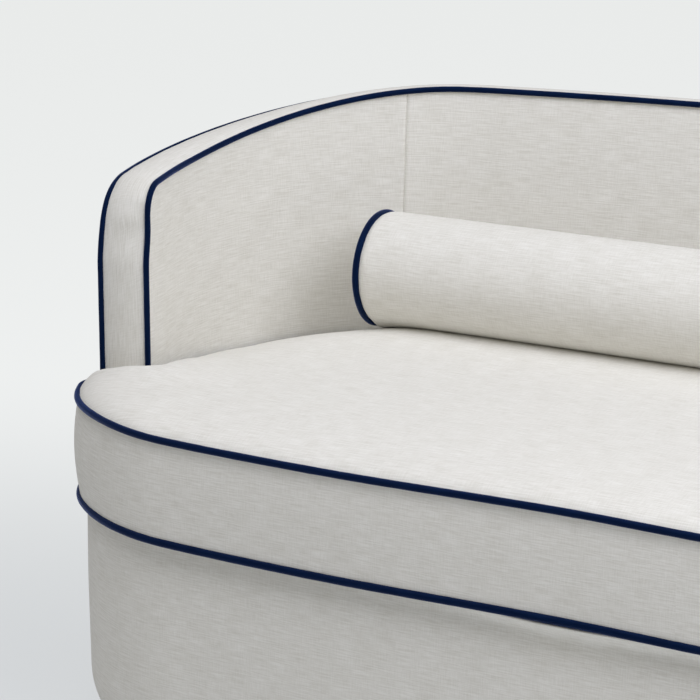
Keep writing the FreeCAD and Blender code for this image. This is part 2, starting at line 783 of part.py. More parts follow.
def cushion_wire(inset, z):
    left = cushion_edges(inset)
    right = [mirrored(e) for e in reversed(left)]
    wire = Part.Wire(Part.__sortEdges__(left + right))
    wire.translate(Vector(0, 0, z))
    return wire


def cushion_slab(inset, z0, z1):
    return Part.Face(cushion_wire(inset, z0)).extrude(Vector(0, 0, z1 - z0))


def cushion_loft(levels):
    return Part.makeLoft([cushion_wire(inset, z) for inset, z in levels], True, True)


def cushion_cover():
    low = pipe_low_z + notch
    high = pipe_high_z - notch
    middle = (low + high) / 2
    boxing = cushion_loft([(0, low), (-BOX_BULGE, middle), (0, high)])
    gutter = notch + GUTTER_INSET
    swell = [(inset, pipe_high_z + share * CROWN) for inset, share in zip(CROWN_INSETS, CROWN_SHARES)]
    crown = cushion_loft([(notch, high), (gutter, pipe_high_z + GUTTER_RISE)] + swell)
    under = cushion_loft([(UNDER_INSET, DECK_Z), (gutter, DECK_Z + CUSHION_SINK / 2), (notch, low)])
    return joined([boxing, crown, under])


def cushion_piping(z):
    wire = cushion_wire(0, z)
    start = wire.Edges[0].firstVertex().Point
    along = wire.Edges[0].tangentAt(wire.Edges[0].FirstParameter)
    circle = Part.Wire(Part.makeCircle(PIPE_R, start, along))
    return wire.makePipeShell([circle], True, False)


def make_deck():
    inset = OVERHANG + BASE_COVER + WOOD_GAP
    save(cushion_slab(inset, deck_low_z, deck_top_z - DECK_CLOTH), "deck_pad")
    save(cushion_slab(inset, deck_top_z - DECK_CLOTH, deck_top_z), "deck_cloth")


def make_seat_cushion():
    core = cushion_slab(COVER_THICK, pipe_low_z + notch, pipe_high_z - notch)
    save(core, "seat_cushion_core")
    save(cushion_cover().cut(core), "seat_cushion_cover")
    save(cushion_piping(pipe_high_z), "seat_cushion_piping_top")
    save(cushion_piping(pipe_low_z), "seat_cushion_piping_bottom")
    sweep = seat_plan.grown(-edge_gap)
    turn = SEAT_ZIP_HALF / sweep.back_radius
    arc = Arc(sweep.back, sweep.back_radius, math.pi / 2 - turn, math.pi / 2 + turn)
    near = BOX_BULGE + SEAM_GAP
    middle = (pipe_low_z + pipe_high_z) / 2
    save(swept_box([arc], near, near + ZIP_THICK, middle - ZIP_HEIGHT / 2, middle + ZIP_HEIGHT / 2),
         "seat_cushion_zip")
    pull = Arc(sweep.back, sweep.back_radius, math.pi / 2 + turn - SLIDER_LENGTH / sweep.back_radius,
               math.pi / 2 + turn)
    near += ZIP_THICK + REST_GAP
    save(swept_box([pull], near, near + SLIDER_THICK, middle - SLIDER_HEIGHT / 2, middle + SLIDER_HEIGHT / 2),
         "seat_cushion_zip_slider")
    travel = 2 * turn - SLIDER_LENGTH / sweep.back_radius
    print("seat zip: axis y %.4f, z %.4f, travel %.4f degrees" % (sweep.back.y, middle, math.degrees(travel)))


# Bolster: a revolved cover with domed ends, its core, end pipings and zip

bolster_z = seat_z + REST_GAP + BOLSTER_R
bolster_end = BOLSTER_LENGTH / 2 + BOLSTER_DOME
wall_reach = math.sqrt(seat_plan.corner_radius ** 2 - (bolster_end + seat_plan.corner.x) ** 2)
bolster_y = seat_plan.corner.y + wall_reach - BOLSTER_R - BOLSTER_GAP


def bolster_point(x, r):
    return Vector(x, bolster_y, bolster_z + r)


def make_bolster():
    half = BOLSTER_LENGTH / 2
    seam_r = BOLSTER_R - PIPE_R
    lip = half - notch
    core_end = lip - BOLSTER_COVER
    core_r = BOLSTER_R - BOLSTER_COVER - PIPE_R
    rim = seam_r - notch
    dome_r = (rim ** 2 + BOLSTER_DOME ** 2) / (2 * BOLSTER_DOME)
    half_angle = math.asin(rim / dome_r) / 2
    between = bolster_end - dome_r * (1 - math.cos(half_angle))
    corners = [(half, rim), (lip, rim), (lip, seam_r), (lip - PIPE_R, BOLSTER_R),
               (PIPE_R - lip, BOLSTER_R), (-lip, seam_r), (-lip, rim), (-half, rim)]
    edges = [line_edge(bolster_point(-bolster_end, 0), bolster_point(bolster_end, 0))]
    for sign in (1, -1):
        dome = [(sign * bolster_end, 0), (sign * between, dome_r * math.sin(half_angle)), (sign * half, rim)]
        edges.append(arc_edge(*[bolster_point(*spot) for spot in dome]))
    for first, last in zip(corners, corners[1:]):
        edges.append(line_edge(bolster_point(*first), bolster_point(*last)))
    axis = Vector(1, 0, 0)
    core = Part.makeCylinder(core_r, 2 * core_end, bolster_point(-core_end, 0), axis)
    save(core, "bolster_core")
    profile = Part.Wire(Part.__sortEdges__(edges))
    save(Part.Face(profile).revolve(bolster_point(0, 0), axis, 360).cut(core), "bolster_cover")
    piping = Part.makeTorus(seam_r, PIPE_R, bolster_point(-half, 0), axis)
    save_pair(piping, "bolster_piping")
    tape = box(-BOLSTER_ZIP_HALF, BOLSTER_ZIP_HALF, BOLSTER_R + SEAM_GAP, BOLSTER_R + SEAM_GAP + ZIP_THICK,
               -ZIP_HEIGHT / 2, ZIP_HEIGHT / 2)
    near = BOLSTER_R + SEAM_GAP + ZIP_THICK + REST_GAP
    slider = box(-BOLSTER_ZIP_HALF, -BOLSTER_ZIP_HALF + SLIDER_LENGTH, near, near + SLIDER_THICK,
                 -SLIDER_HEIGHT / 2, SLIDER_HEIGHT / 2)
    for shape, name in ((tape, "bolster_zip"), (slider, "bolster_zip_slider")):
        shape.rotate(Vector(0, 0, 0), axis, BOLSTER_ZIP_ANGLE)
        shape.translate(Vector(0, bolster_y, bolster_z))
        save(shape, name)
    print("bolster zip: travel %.4f" % (2 * BOLSTER_ZIP_HALF - SLIDER_LENGTH))


make_wall_covers()
make_band()
save(wall_piping(0), "inner_piping")
save(wall_piping(WALL), "outer_piping")
make_base_covers()
make_rails()
make_cleats()
make_boards()
make_ribs()
make_stretchers()
make_top_rails()
make_posts()
make_uprights()
make_feet()
make_dust_cover()
make_webbing()
make_deck()
make_seat_cushion()
make_bolster()
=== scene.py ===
# %% [markdown]
# # A barrel-backed linen sofa with navy piping
# The imported model gives every piece its place and size. It is loaded first.

# %% Load the frame
import json
import math

import bmesh
import bpy
import numpy as np
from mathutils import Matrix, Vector, geometry


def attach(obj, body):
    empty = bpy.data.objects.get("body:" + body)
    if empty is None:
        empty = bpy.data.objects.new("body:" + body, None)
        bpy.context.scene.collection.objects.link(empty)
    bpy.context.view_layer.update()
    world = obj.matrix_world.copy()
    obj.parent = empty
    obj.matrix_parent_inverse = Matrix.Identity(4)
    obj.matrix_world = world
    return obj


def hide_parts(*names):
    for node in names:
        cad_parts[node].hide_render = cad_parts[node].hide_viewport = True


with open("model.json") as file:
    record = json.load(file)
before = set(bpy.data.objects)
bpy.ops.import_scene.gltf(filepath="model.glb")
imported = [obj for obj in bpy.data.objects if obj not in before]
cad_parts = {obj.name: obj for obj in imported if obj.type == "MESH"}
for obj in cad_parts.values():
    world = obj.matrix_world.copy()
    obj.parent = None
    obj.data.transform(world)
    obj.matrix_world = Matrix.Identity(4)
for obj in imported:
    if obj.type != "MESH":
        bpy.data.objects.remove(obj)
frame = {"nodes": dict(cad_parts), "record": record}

MM = 0.001
QUARTER = math.pi / 2
scene = bpy.context.scene


def put(name, data):
    """An object with this data, in the scene."""
    thing = bpy.data.objects.new(name, data)
    scene.collection.objects.link(thing)
    return thing


for packed in bpy.data.materials:
    packed.name = "packed_" + packed.name      # leaves the slot names free for the materials made here
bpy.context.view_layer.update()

# %% [markdown]
# ## The camera
# The photograph is a close view of one end of the sofa, taken with a long lens from the front right and from
# above. A long lens keeps the verticals nearly parallel. The place, the two angles and the focal length were
# worked out from straight and round edges of the sofa.

# %% Camera
CAMERA_PLACE = (1.3645, -3.8162, 1.7737)
CAMERA_TILT = math.radians(74.07)    # up from looking straight down
CAMERA_TURN = math.radians(28.8)     # to the left of looking along +Y
CAMERA_LENS, SENSOR = 154.2, 36      # mm

camera_data = bpy.data.cameras.new("camera")
camera_data.lens, camera_data.sensor_width = CAMERA_LENS, SENSOR
camera_data.sensor_fit = "HORIZONTAL"
camera = put("camera", camera_data)
camera.location, camera.rotation_euler = CAMERA_PLACE, (CAMERA_TILT, 0, CAMERA_TURN)
scene.camera = camera
scene.view_settings.view_transform = "Standard"
print("camera lens", CAMERA_LENS, "mm")

# %% [markdown]
# ## Helpers for materials
# Colours are written as sRGB hex, the way they are read off a swatch, and turned to linear here. One small
# function adds a node: names in lower case are its properties, names with a capital or a number its sockets.
# Each finish here is a blend of a deep and a pale tone, with a roughness for each and a bump.

# %% Colour and node helpers
def linear(swatch):
    """The linear colour of an sRGB hex value such as #E6E4DF."""
    parts = [int(swatch[k:k + 2], 16) / 255 for k in (1, 3, 5)]
    return [c / 12.92 if c <= 0.04045 else ((c + 0.055) / 1.055) ** 2.4 for c in parts] + [1.0]


def add(tree, kind, settings, links=None):
    """Adds one shader node with its settings and the sockets that feed it."""
    node = tree.nodes.new("ShaderNode" + kind)
    for key, value in settings.items():
        if isinstance(key, str) and key[0].islower():
            setattr(node, key, value)
        else:
            node.inputs[key].default_value = value
    for key, source in (links or {}).items():
        tree.links.new(source, node.inputs[key])
    return node


def new_material(name, settings):
    """A material with its output and a principled shader."""
    material = bpy.data.materials.new(name)
    material.use_nodes = True
    tree = material.node_tree
    tree.nodes.clear()
    shader = add(tree, "BsdfPrincipled", settings)
    add(tree, "OutputMaterial", {}, {"Surface": shader.outputs["BSDF"]})
    return material, tree, shader


def remap(tree, value, low, high, to_low=0.0, to_high=1.0):
    """A value taken from one range to another."""
    ends = {"From Min": low, "From Max": high, "To Min": to_low, "To Max": to_high}
    return add(tree, "MapRange", ends, {"Value": value}).outputs["Result"]


def times_plus(tree, value, factor, rest):
    return add(tree, "Math", {"operation": "MULTIPLY_ADD", 1: factor}, {0: value, 2: rest}).outputs[0]


def blend(tree, share, first, second):
    """A colour between two swatches."""
    return add(tree, "Mix", {"data_type": "RGBA", 6: linear(first), 7: linear(second)}, {0: share}).outputs[2]


def finish(tree, shader, share, pale, deep, rough_pale, rough_deep, height, relief, strength):
    """Gives a shader its tone and roughness by a share, and a bump of relief in mm."""
    bump = add(tree, "Bump", {"Strength": strength, "Distance": relief * MM}, {"Height": height})
    feeds = {"Base Color": blend(tree, share, deep, pale), "Normal": bump.outputs["Normal"],
             "Roughness": remap(tree, share, 0.0, 1.0, rough_deep, rough_pale)}
    for key, source in feeds.items():
        tree.links.new(source, shader.inputs[key])


print("linen swatch is", [round(c, 3) for c in linear("#E6E4DF")])

# %% [markdown]
# ## Ivory linen
# Linen is a plain weave of flax yarn, and flax is uneven: thick places, called slubs, run along the yarns in both
# directions and catch the light. That is what the eye sees from a few steps away, far more than single threads.
# So the cloth has two streaky noises, one along the warp and one along the weft. Real yarns lie about 0.6 mm
# apart, too fine to show here, so the streaks are drawn about 2 mm wide. The surface is matt with a faint bloom.

# %% Woven cloth
THREAD_MAP = "thread"      # name of the thread coordinates, in metres along warp and weft
WARP_SHARE = 0.5           # the warp shows less than the weft
CLOUDS, CLOUD_SHARE = 25.0, 0.25     # soft patches per metre
TONE_LOW, TONE_HIGH = 0.53, 1.22     # what the noises add up to in the deep and the pale tone
MATT = {"Sheen Weight": 0.1, "Sheen Roughness": 0.5, "Specular IOR Level": 0.25}


def thread_place(tree):
    return add(tree, "UVMap", {"uv_map": THREAD_MAP}).outputs["UV"]


def streaks(tree, place, along, across):
    """Noise drawn out along one yarn direction, sizes in mm."""
    stretch = add(tree, "Mapping", {"Scale": (1 / (along * MM), 1 / (across * MM), 1)}, {"Vector": place})
    noise = {"noise_dimensions": "2D", "Scale": 1.0, "Detail": 2.0}
    return add(tree, "TexNoise", noise, {"Vector": stretch.outputs["Vector"]}).outputs["Fac"]


def woven_cloth(name, pale, deep, slub, yarn, relief):
    """A plain weave: slub and yarn are the streak length and width in mm, relief the bump in mm."""
    material, tree, shader = new_material(name, MATT)
    place = thread_place(tree)
    both = times_plus(tree, streaks(tree, place, yarn, slub / 2), WARP_SHARE, streaks(tree, place, slub, yarn))
    cloud = add(tree, "TexNoise", {"noise_dimensions": "2D", "Scale": CLOUDS, "Detail": 3.0}, {"Vector": place})
    tone = times_plus(tree, cloud.outputs["Fac"], CLOUD_SHARE, both)
    share = remap(tree, tone, TONE_LOW, TONE_HIGH)
    finish(tree, shader, share, pale, deep, 0.8, 0.95, both, relief, 1.0)
    return material


ivory_linen = woven_cloth("ivory_linen", "#EDEBE4", "#D9D6CC", 34, 1.8, 0.25)
deck_cloth = woven_cloth("deck_cloth", "#D9D4C8", "#C6C0B2", 20, 1.6, 0.3)
jute_webbing = woven_cloth("jute_webbing", "#A58A63", "#7D6543", 30, 3.0, 0.8)
zip_tape = woven_cloth("zip_tape", "#DEDBD3", "#CBC7BC", 8, 0.9, 0.2)
dust_cloth = woven_cloth("dust_cloth", "#2A2A2B", "#1B1B1C", 9, 5.0, 0.3)
print("woven cloths:", ivory_linen.name, deck_cloth.name, jute_webbing.name, zip_tape.name, dust_cloth.name)

# %% [markdown]
# ## Navy piping
# Piping is a cotton cord wrapped in a bias strip, so its threads cross the cord at a slant. A tight satin-faced
# cotton has a soft sheen: nearly black in shade, clear blue where the light grazes it. The slanted ribs are
# drawn 1.2 mm apart, about twice as coarse as real ones.

# %% Piping cloth
TWILL = 1.2 * MM
RIB_SCALE = 0.31           # makes one wave of the texture one rib
SATIN = {"Sheen Weight": 0.6, "Sheen Roughness": 0.4, "Sheen Tint": linear("#2E62C8"),
         "Specular IOR Level": 0.1, "Specular Tint": linear("#4F80DC")}

navy_piping, tree, shader = new_material("navy_piping", SATIN)
place = thread_place(tree)
bias = {"Rotation": (0, 0, math.radians(45)), "Scale": (1 / TWILL, 1 / TWILL, 1)}
slant = add(tree, "Mapping", bias, {"Vector": place}).outputs["Vector"]
waves = {"Scale": RIB_SCALE, "Distortion": 1.5, "Detail": 1.0}
rib = add(tree, "TexWave", waves, {"Vector": slant}).outputs["Fac"]
share = remap(tree, times_plus(tree, rib, 0.3, streaks(tree, place, 40, 6)), 0.3, 1.0)
finish(tree, shader, share, "#0B1B38", "#07122A", 0.38, 0.5, rib, 0.15, 0.6)
print("piping ribs every", TWILL / MM, "mm")

# %% [markdown]
# ## Wood, metal and plastic
# The feet are turned hardwood with a dark stain, the hidden frame is sawn and unfinished. Wood grain is a noise
# drawn out along one direction, so dark pores run with the board. The zip sliders and bolts are plated steel,
# which stays metallic with fine brushed streaks, and the glides are moulded nylon.

# %% Hard materials
def grained(name, pale, deep, grain, length, rough_pale, rough_deep, metallic, relief):
    """Streaky solid material: grain and length are the streak's width and length in mm."""
    material, tree, shader = new_material(name, {"Metallic": metallic})
    place = add(tree, "TexCoord", {}).outputs["Object"]
    fine = 1 / (grain * MM)
    stretch = add(tree, "Mapping", {"Scale": (1 / (length * MM), fine, fine)}, {"Vector": place})
    noise = add(tree, "TexNoise", {"Scale": 1.0, "Detail": 4.0}, {"Vector": stretch.outputs["Vector"]})
    share = remap(tree, noise.outputs["Fac"], 0.3, 0.7)
    finish(tree, shader, share, pale, deep, rough_pale, rough_deep, share, relief, 0.5)
    return material


foot_wood = grained("foot_wood", "#4A3222", "#2B1B11", 2.5, 40, 0.4, 0.5, 0.0, 0.15)
frame_wood = grained("frame_wood", "#C9A577", "#A98452", 6, 160, 0.75, 0.85, 0.0, 0.3)
zip_metal = grained("zip_metal", "#C9C7C2", "#A9A7A1", 0.4, 6, 0.25, 0.35, 1.0, 0.02)
steel = grained("steel", "#B9BABC", "#97989B", 0.5, 8, 0.3, 0.4, 1.0, 0.02)
glide_plastic = grained("glide_plastic", "#2B2A29", "#1E1D1C", 1.5, 1.5, 0.45, 0.55, 0.0, 0.05)
print("hard materials:", foot_wood.name, frame_wood.name, zip_metal.name, steel.name, glide_plastic.name)

# %% [markdown]
# ## Helpers for pieces
# Sizes below are in millimetres, as on a workshop drawing, and become metres when a mesh is made. Each piece
# carries thread coordinates: the distance along its warp and weft, so that the weave has the same scale
# everywhere and runs with the panel, as cut cloth does.

# %% Making a piece
def closed_mesh(name, points, faces):
    mesh = bpy.data.meshes.new(name)
    mesh.from_pydata((np.asarray(points, float) * MM).tolist(), [], [list(map(int, f)) for f in faces])
    return mesh


def face_out(mesh):
    """Turns all faces outwards."""
    turned = bmesh.new()
    turned.from_mesh(mesh)
    bmesh.ops.recalc_face_normals(turned, faces=turned.faces)
    turned.to_mesh(mesh)
    turned.free()


def make_piece(name, points, faces, threads, material, body, nodes=(), crease=60):
    """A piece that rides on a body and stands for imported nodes; threads are per vertex or per corner."""
    mesh = closed_mesh(name, points, faces)
    threads = np.asarray(threads, float)
    if len(threads) != len(mesh.loops):
        corner = np.zeros(len(mesh.loops), np.int32)
        mesh.loops.foreach_get("vertex_index", corner)
        threads = threads[corner]
    layer = mesh.uv_layers.new(name=THREAD_MAP)
    layer.data.foreach_set("uv", (threads * MM).astype(np.float32).ravel())
    face_out(mesh)
    mesh.materials.append(material)
    mesh.shade_smooth()
    mesh.set_sharp_from_angle(angle=math.radians(crease))
    piece = put(name, mesh)
    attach(piece, body)
    if nodes:
        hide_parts(*nodes)
    return piece


def run_lengths(points, axis=0):
    """Distance along one axis of a grid of points."""
    steps = np.linalg.norm(np.diff(points, axis=axis), axis=-1)
    return np.concatenate([np.zeros_like(np.take(steps, [0], axis)), np.cumsum(steps, axis)], axis)


def quads(index):
    """Faces of a grid of point numbers."""
    return np.stack([index[:-1, :-1], index[:-1, 1:], index[1:, 1:], index[1:, :-1]], -1).reshape(-1, 4)


def ring_index(rows, around):
    """Point numbers of rows of rings, each closed by its first point."""
    index = np.arange(rows * around).reshape(rows, around)
    return np.concatenate([index, index[:, :1]], 1)


def slab(front, back):
    """Closed skin of two matching grids of points: points, faces and thread coordinates."""
    rows, columns = front.shape[:2]
    count = rows * columns
    index = np.arange(count).reshape(rows, columns)
    face = quads(index)
    rim = np.concatenate([index[0, :-1], index[:-1, -1], index[-1, :0:-1], index[:0:-1, 0]])
    after = np.roll(rim, -1)
    sides = np.stack([after, rim, rim + count, after + count], -1)
    along = np.broadcast_to(run_lengths(front, 1).mean(0), (rows, columns))
    threads = np.stack([along, run_lengths(front)], -1).reshape(-1, 2)
    points = np.concatenate([front.reshape(-1, 3), back.reshape(-1, 3)])
    return points, np.concatenate([face, face[:, ::-1] + count, sides]), np.concatenate([threads, threads])


def rolled(index, run, girth):
    """Faces of a tube from its rings, and the threads of their corners as if it were cut open."""
    face = quads(index)[:, [0, 3, 2, 1]]
    row, side = np.divmod(np.arange(len(face))[:, None], index.shape[1] - 1)
    return face, np.stack([run[row + [0, 1, 1, 0]], (side + [0, 0, 1, 1]) * girth], -1)


def unit(vectors):
    return vectors / np.maximum(np.linalg.norm(vectors, axis=-1, keepdims=True), 1e-9)


def smoothstep(t):
    t = np.clip(t, 0.0, 1.0)
    return t * t * (3 - 2 * t)


def hump(t):
    """1 at 0, falling off to both sides."""
    return np.exp(-t ** 2)


def ripple(run, lengths, seed):
    """A smooth, repeatable unevenness along a run, between about -1 and 1."""
    waves = [np.sin(2 * np.pi * run / size + seed * (k + 1.7)) for k, size in enumerate(lengths)]
    return sum(waves) / len(lengths)


def lift(plan, z):
    """Plan points at a height, or each at its own."""
    return np.concatenate([plan, np.broadcast_to(z, plan.shape[:-1])[..., None]], -1)


def rays(angle):
    """Directions in plan."""
    return np.stack([np.cos(angle), np.sin(angle)], -1)


print("helpers ready")

# %% [markdown]
# ## The sweep of the wall
# Arms and back are one wall that follows three circles and a line: a shallow back arc, a corner arc and an arm
# that toes in. The inside leans, so there is one such plan at the top edge and one at seat height, and a third
# for the outside at the base. A place along the wall is a number: 0 to 1 on the arm, 1 to 2 round the corner
# with the seam at 1.5, and 2 to 3 along half of the back.

# %% Plan of the wall
CORNER_Y = -66.0
HALF_WIDTH = 972.0
BACK_Y, CORNER_RADIUS = 393.0, 400.0
INSIDE_LEAN, INSIDE_CORNER = 51.0, 40.0
OUTSIDE_LEAN, OUTSIDE_CORNER = 46.0, 44.0
TOE_IN = math.radians(8)
ARM_FRONT_Y = -220.0
WALL = 74.0
SEAM_X, SEAM_PLACE = 782.0, 1.5
ARM_ANGLE = math.pi + TOE_IN
arm_way = np.array([math.sin(TOE_IN), -math.cos(TOE_IN)])
arm_out = np.array([-math.cos(TOE_IN), -math.sin(TOE_IN)])


class Plan:
    """Left half of a sweep, from the arm's front to the middle of the back."""

    def __init__(self, half_width, back_y, corner_radius):
        across = half_width - corner_radius
        self.turn = 2 * math.atan2(back_y - CORNER_Y - corner_radius, across)
        self.radius = corner_radius
        self.back_radius = across / math.sin(self.turn) + corner_radius
        self.corner = np.array([-across, CORNER_Y])
        self.back = np.array([0.0, back_y - self.back_radius])
        self.arc_end = self.corner + corner_radius * rays(ARM_ANGLE)
        self.sweep = ARM_ANGLE - QUARTER - self.turn
        self.seam = (ARM_ANGLE - math.acos((across - SEAM_X) / corner_radius)) / self.sweep

    def turned(self, places):
        """Share of the corner's arc at places along the wall."""
        return np.interp(places, [1, SEAM_PLACE, 2], [0, self.seam, 1])

    def at(self, places):
        """Points and outward directions at places along the wall."""
        run = (arm_front - self.arc_end) @ arm_way
        on_arm = self.arc_end + np.outer(run - np.clip(places, 0, 1) * arm_run, arm_way)
        ray = rays(ARM_ANGLE - self.sweep * self.turned(places))
        back_ray = rays(QUARTER + self.turn * (3 - np.clip(places, 2, 3)))
        arm, corner = (places < 1)[:, None], (places < 2)[:, None]
        swept = np.where(corner, self.corner + self.radius * ray, self.back + self.back_radius * back_ray)
        return np.where(arm, on_arm, swept), np.where(arm, arm_out, np.where(corner, ray, back_ray))


def seat_level(inset):
    """The inside of the wall at seat height, drawn in."""
    return Plan(HALF_WIDTH - inset, BACK_Y - INSIDE_LEAN - inset, CORNER_RADIUS - INSIDE_CORNER - inset)


top_plan = Plan(HALF_WIDTH, BACK_Y, CORNER_RADIUS)
seat_plan = seat_level(0.0)
base_corner = CORNER_RADIUS + WALL - OUTSIDE_CORNER
base_plan = Plan(HALF_WIDTH + WALL, BACK_Y + WALL - OUTSIDE_LEAN, base_corner)
arm_run = (top_plan.arc_end[1] - ARM_FRONT_Y) / math.cos(TOE_IN)
arm_front = top_plan.arc_end + arm_way * arm_run
corner_run = CORNER_RADIUS * top_plan.sweep
back_run = top_plan.back_radius * top_plan.turn


def distance(places):
    """Length along the top edge from the arm's front."""
    on_arm, on_back = np.clip(places, 0, 1), np.clip(places - 2, 0, 1)
    return on_arm * arm_run + top_plan.turned(places) * corner_run + on_back * back_run


print("arm %.0f, corner %.0f, half back %.0f mm along the top edge" % (arm_run, corner_run, back_run))

# %% [markdown]
# ## Heights of the wall
# The top edge climbs from the arm to the back in one soft curve, and the band on top of it tilts outwards there.
# At the arm's front the edge turns down in a quarter round, tighter on the inside than on the outside.

# %% Heights of the wall
DECK_Z = 350.0
PIPE_LOW_Z, PIPE_HIGH_Z, SEAT_Z = 358.0, 508.0, 535.5
ARM_TOP_Z, BACK_RISE, RISE_RUN = 796.0, 84.0, 650.0
BAND_TILT = math.tan(math.radians(8))
ROUND_INNER, ROUND_OUTER = 42.0, 84.0
ARM_FULL, FULL_AT, FULL_RUN = 4.5, 70.0, 80.0      # filling stands up behind the arm's front
ARM_LEAN, LEAN_FROM, LEAN_RISE, LEAN_RUN = 8.0, 680.0, 60.0, 40.0     # and the front leans back
PIPE_R = 4.5
LOOSE_PIPE_R = 5.3         # cushion and bolster pipings, filled a little fuller
LOW_PIPE_R = 5.8
NOTCH = PIPE_R + 0.25
MIRROR = np.array([-1.0, 1.0, 1.0])


def arm_round(offset):
    return ROUND_INNER + (ROUND_OUTER - ROUND_INNER) * offset / WALL


def edge_height(d, offset):
    """Height of the wall's top at a distance along it, offset outwards from the inner edge."""
    climb = smoothstep(d / RISE_RUN)
    full = ARM_FULL * hump((d - FULL_AT) / FULL_RUN) * (1 - offset / WALL)
    return ARM_TOP_Z + BACK_RISE * climb - BAND_TILT * climb * offset + full


def lean_back(d, z):
    """How far the arm's front edge gives way backwards near its top, as a shift in plan."""
    lean = ARM_LEAN * smoothstep((z - LEAN_FROM) / LEAN_RISE) * np.exp(-d / LEAN_RUN)
    return -arm_way * lean[..., None]


def crest(d, offset, inset):
    """Height of the top, lowered by inset and turned down over the arm's front."""
    reach = arm_round(offset) - inset
    share = np.clip((arm_round(offset) - d) / reach, 0, 1)
    return edge_height(d, offset) - inset - reach * (1 - np.sqrt(1 - share * share))


def mirror(left):
    """Adds the mirror image of a left half, whose last column lies in the middle."""
    return np.concatenate([left, left[..., -2::-1, :] * MIRROR], axis=-2)


def places_between(stops, counts):
    """Places along the wall with a number of steps between stops."""
    parts = [np.linspace(a, b, n)[1:] for a, b, n in zip(stops, stops[1:], counts)]
    return np.concatenate([[stops[0]]] + parts)


round_d = NOTCH + (ROUND_OUTER - NOTCH) * (1 - np.cos(np.linspace(0, QUARTER, 20)))
wall_places = np.concatenate([round_d[:-1] / arm_run, places_between(
    [ROUND_OUTER / arm_run, 1, 1.47, SEAM_PLACE], [8, 32, 10])])     # close together at front and seam
back_places = places_between([SEAM_PLACE, 1.53, 2, 3], [10, 14, 60])
print("top edge runs from", ARM_TOP_Z, "to", ARM_TOP_Z + BACK_RISE, "mm")

# %% [markdown]
# ## Inside and outside panels
# The inside is tight upholstery: padding over webbing, with linen pulled over it and sewn to the piping. It is
# modelled directly, as panels with real thickness, because a tight cover has no slack to simulate. The cloth
# swells a little in the middle, draws in beside the piping and dips at the two seams where the arm panels meet
# the back panel. The outside is linen over a thin pad with the same seams and hardly any swell.

# %% Panels of the wall
PAD_THICK, PAD_SWELL, PAD_ROWS = 28.0, 3.0, 64
OUTSIDE_THICK, OUTSIDE_SWELL, OUTSIDE_ROWS = 8.0, 1.2, 48
EDGE_DRAW, EDGE_RUN, EDGE_MOST = 2.2, 9.0, 1.3      # how far the cloth draws in beside a piping
SEAM_DIP, SEAM_RUN = 2.6, 2.2
SWELL_RUN = 60.0           # from the arm's front to the full swell
PAD_PUCKER, PUCKER_REACH = 0.35, 14.0     # small gathers below the piping
PAD_HAND, OUTSIDE_HAND = 0.5, 0.4         # broad unevenness of filling laid by hand
ROW_CROWDING = 1.6         # rows lie closer together near the top
seam_at = float(distance(np.array([SEAM_PLACE]))[0])


def wall_grid(places, offset_of, rows, lower_plan, lower_z, side):
    """Grid of a leaning face of the wall; offset_of shapes it by the run, the height and the top."""
    d = distance(places)
    upper, upper_out = top_plan.at(places)
    lower, lower_out = lower_plan.at(places)
    top = crest(d, side, NOTCH)
    level = 1 - (1 - np.linspace(0, 1, rows)) ** ROW_CROWDING
    z = DECK_Z + (top - DECK_Z) * level[:, None]
    share = np.clip((top - z) / (top - lower_z), 0, 1)[..., None]
    offset = offset_of(np.broadcast_to(d, z.shape), z, np.broadcast_to(top, z.shape))[..., None]
    plan = (upper + upper_out * (side + offset)) * (1 - share) + (lower + lower_out * offset) * share
    return lift(plan + lean_back(d, z), z)


def swelling(d, z, top, low):
    return np.sin(math.pi * np.clip((z - low) / (top - low), 0, 1)) * np.clip(d / SWELL_RUN, 0, 1)


def drawn_in(d, z, top):
    """How far the cloth lies back beside the pipings and at the seam."""
    edge = np.exp(-(top - z) / EDGE_RUN) + np.exp(-(d - NOTCH) / EDGE_RUN)
    dip = np.exp(-(np.abs(d - seam_at) / SEAM_RUN) ** 1.5)
    return EDGE_DRAW * np.minimum(edge, EDGE_MOST) + SEAM_DIP * dip


def inside_offset(d, z, top):
    pucker = PAD_PUCKER * np.exp(-(top - z) / PUCKER_REACH) * ripple(d, (23, 37, 61), 1.0)
    hand = PAD_HAND * ripple(d, (310, 470), 2.0) * ripple(z, (190, 330), 3.0)
    return drawn_in(d, z, top) - PAD_SWELL * swelling(d, z, top, PIPE_HIGH_Z) - pucker - hand


def outside_offset(d, z, top):
    swell = OUTSIDE_SWELL * swelling(d, z, top, DECK_Z)
    return swell - drawn_in(d, z, top) + OUTSIDE_HAND * ripple(d, (290, 410), 4.0)


for side, kind, shape, depth, form in (
        ("inside", "pad", inside_offset, PAD_THICK, (PAD_ROWS, seat_plan, PIPE_HIGH_Z, 0.0)),
        ("outside", "cover", outside_offset, -OUTSIDE_THICK, (OUTSIDE_ROWS, base_plan, DECK_Z, WALL))):
    arm, back = ([wall_grid(places, offset_of, *form)
                  for offset_of in (shape, lambda d, z, top: np.full_like(z, depth))]
                 for places in (wall_places, back_places))
    for name, node, grids in (("_arm_left", "_arm_%s_left", arm),
                              ("_arm_right", "_arm_%s_right", [grid * MIRROR for grid in arm]),
                              ("_back", "_back_%s", [mirror(grid) for grid in back])):
        panel = make_piece(side + name, *slab(*grids), ivory_linen, "root", [side + node % kind])
print("panel seams at", round(seam_at), "mm from the arm's front")

# %% [markdown]
# ## The band and its pipings
# A boxed band joins inside and outside: it climbs the front of each arm, turns over the corner and runs along the
# top. Its two edges carry the piping, so one function gives the line at any offset between them, and band and
# pipings share it.

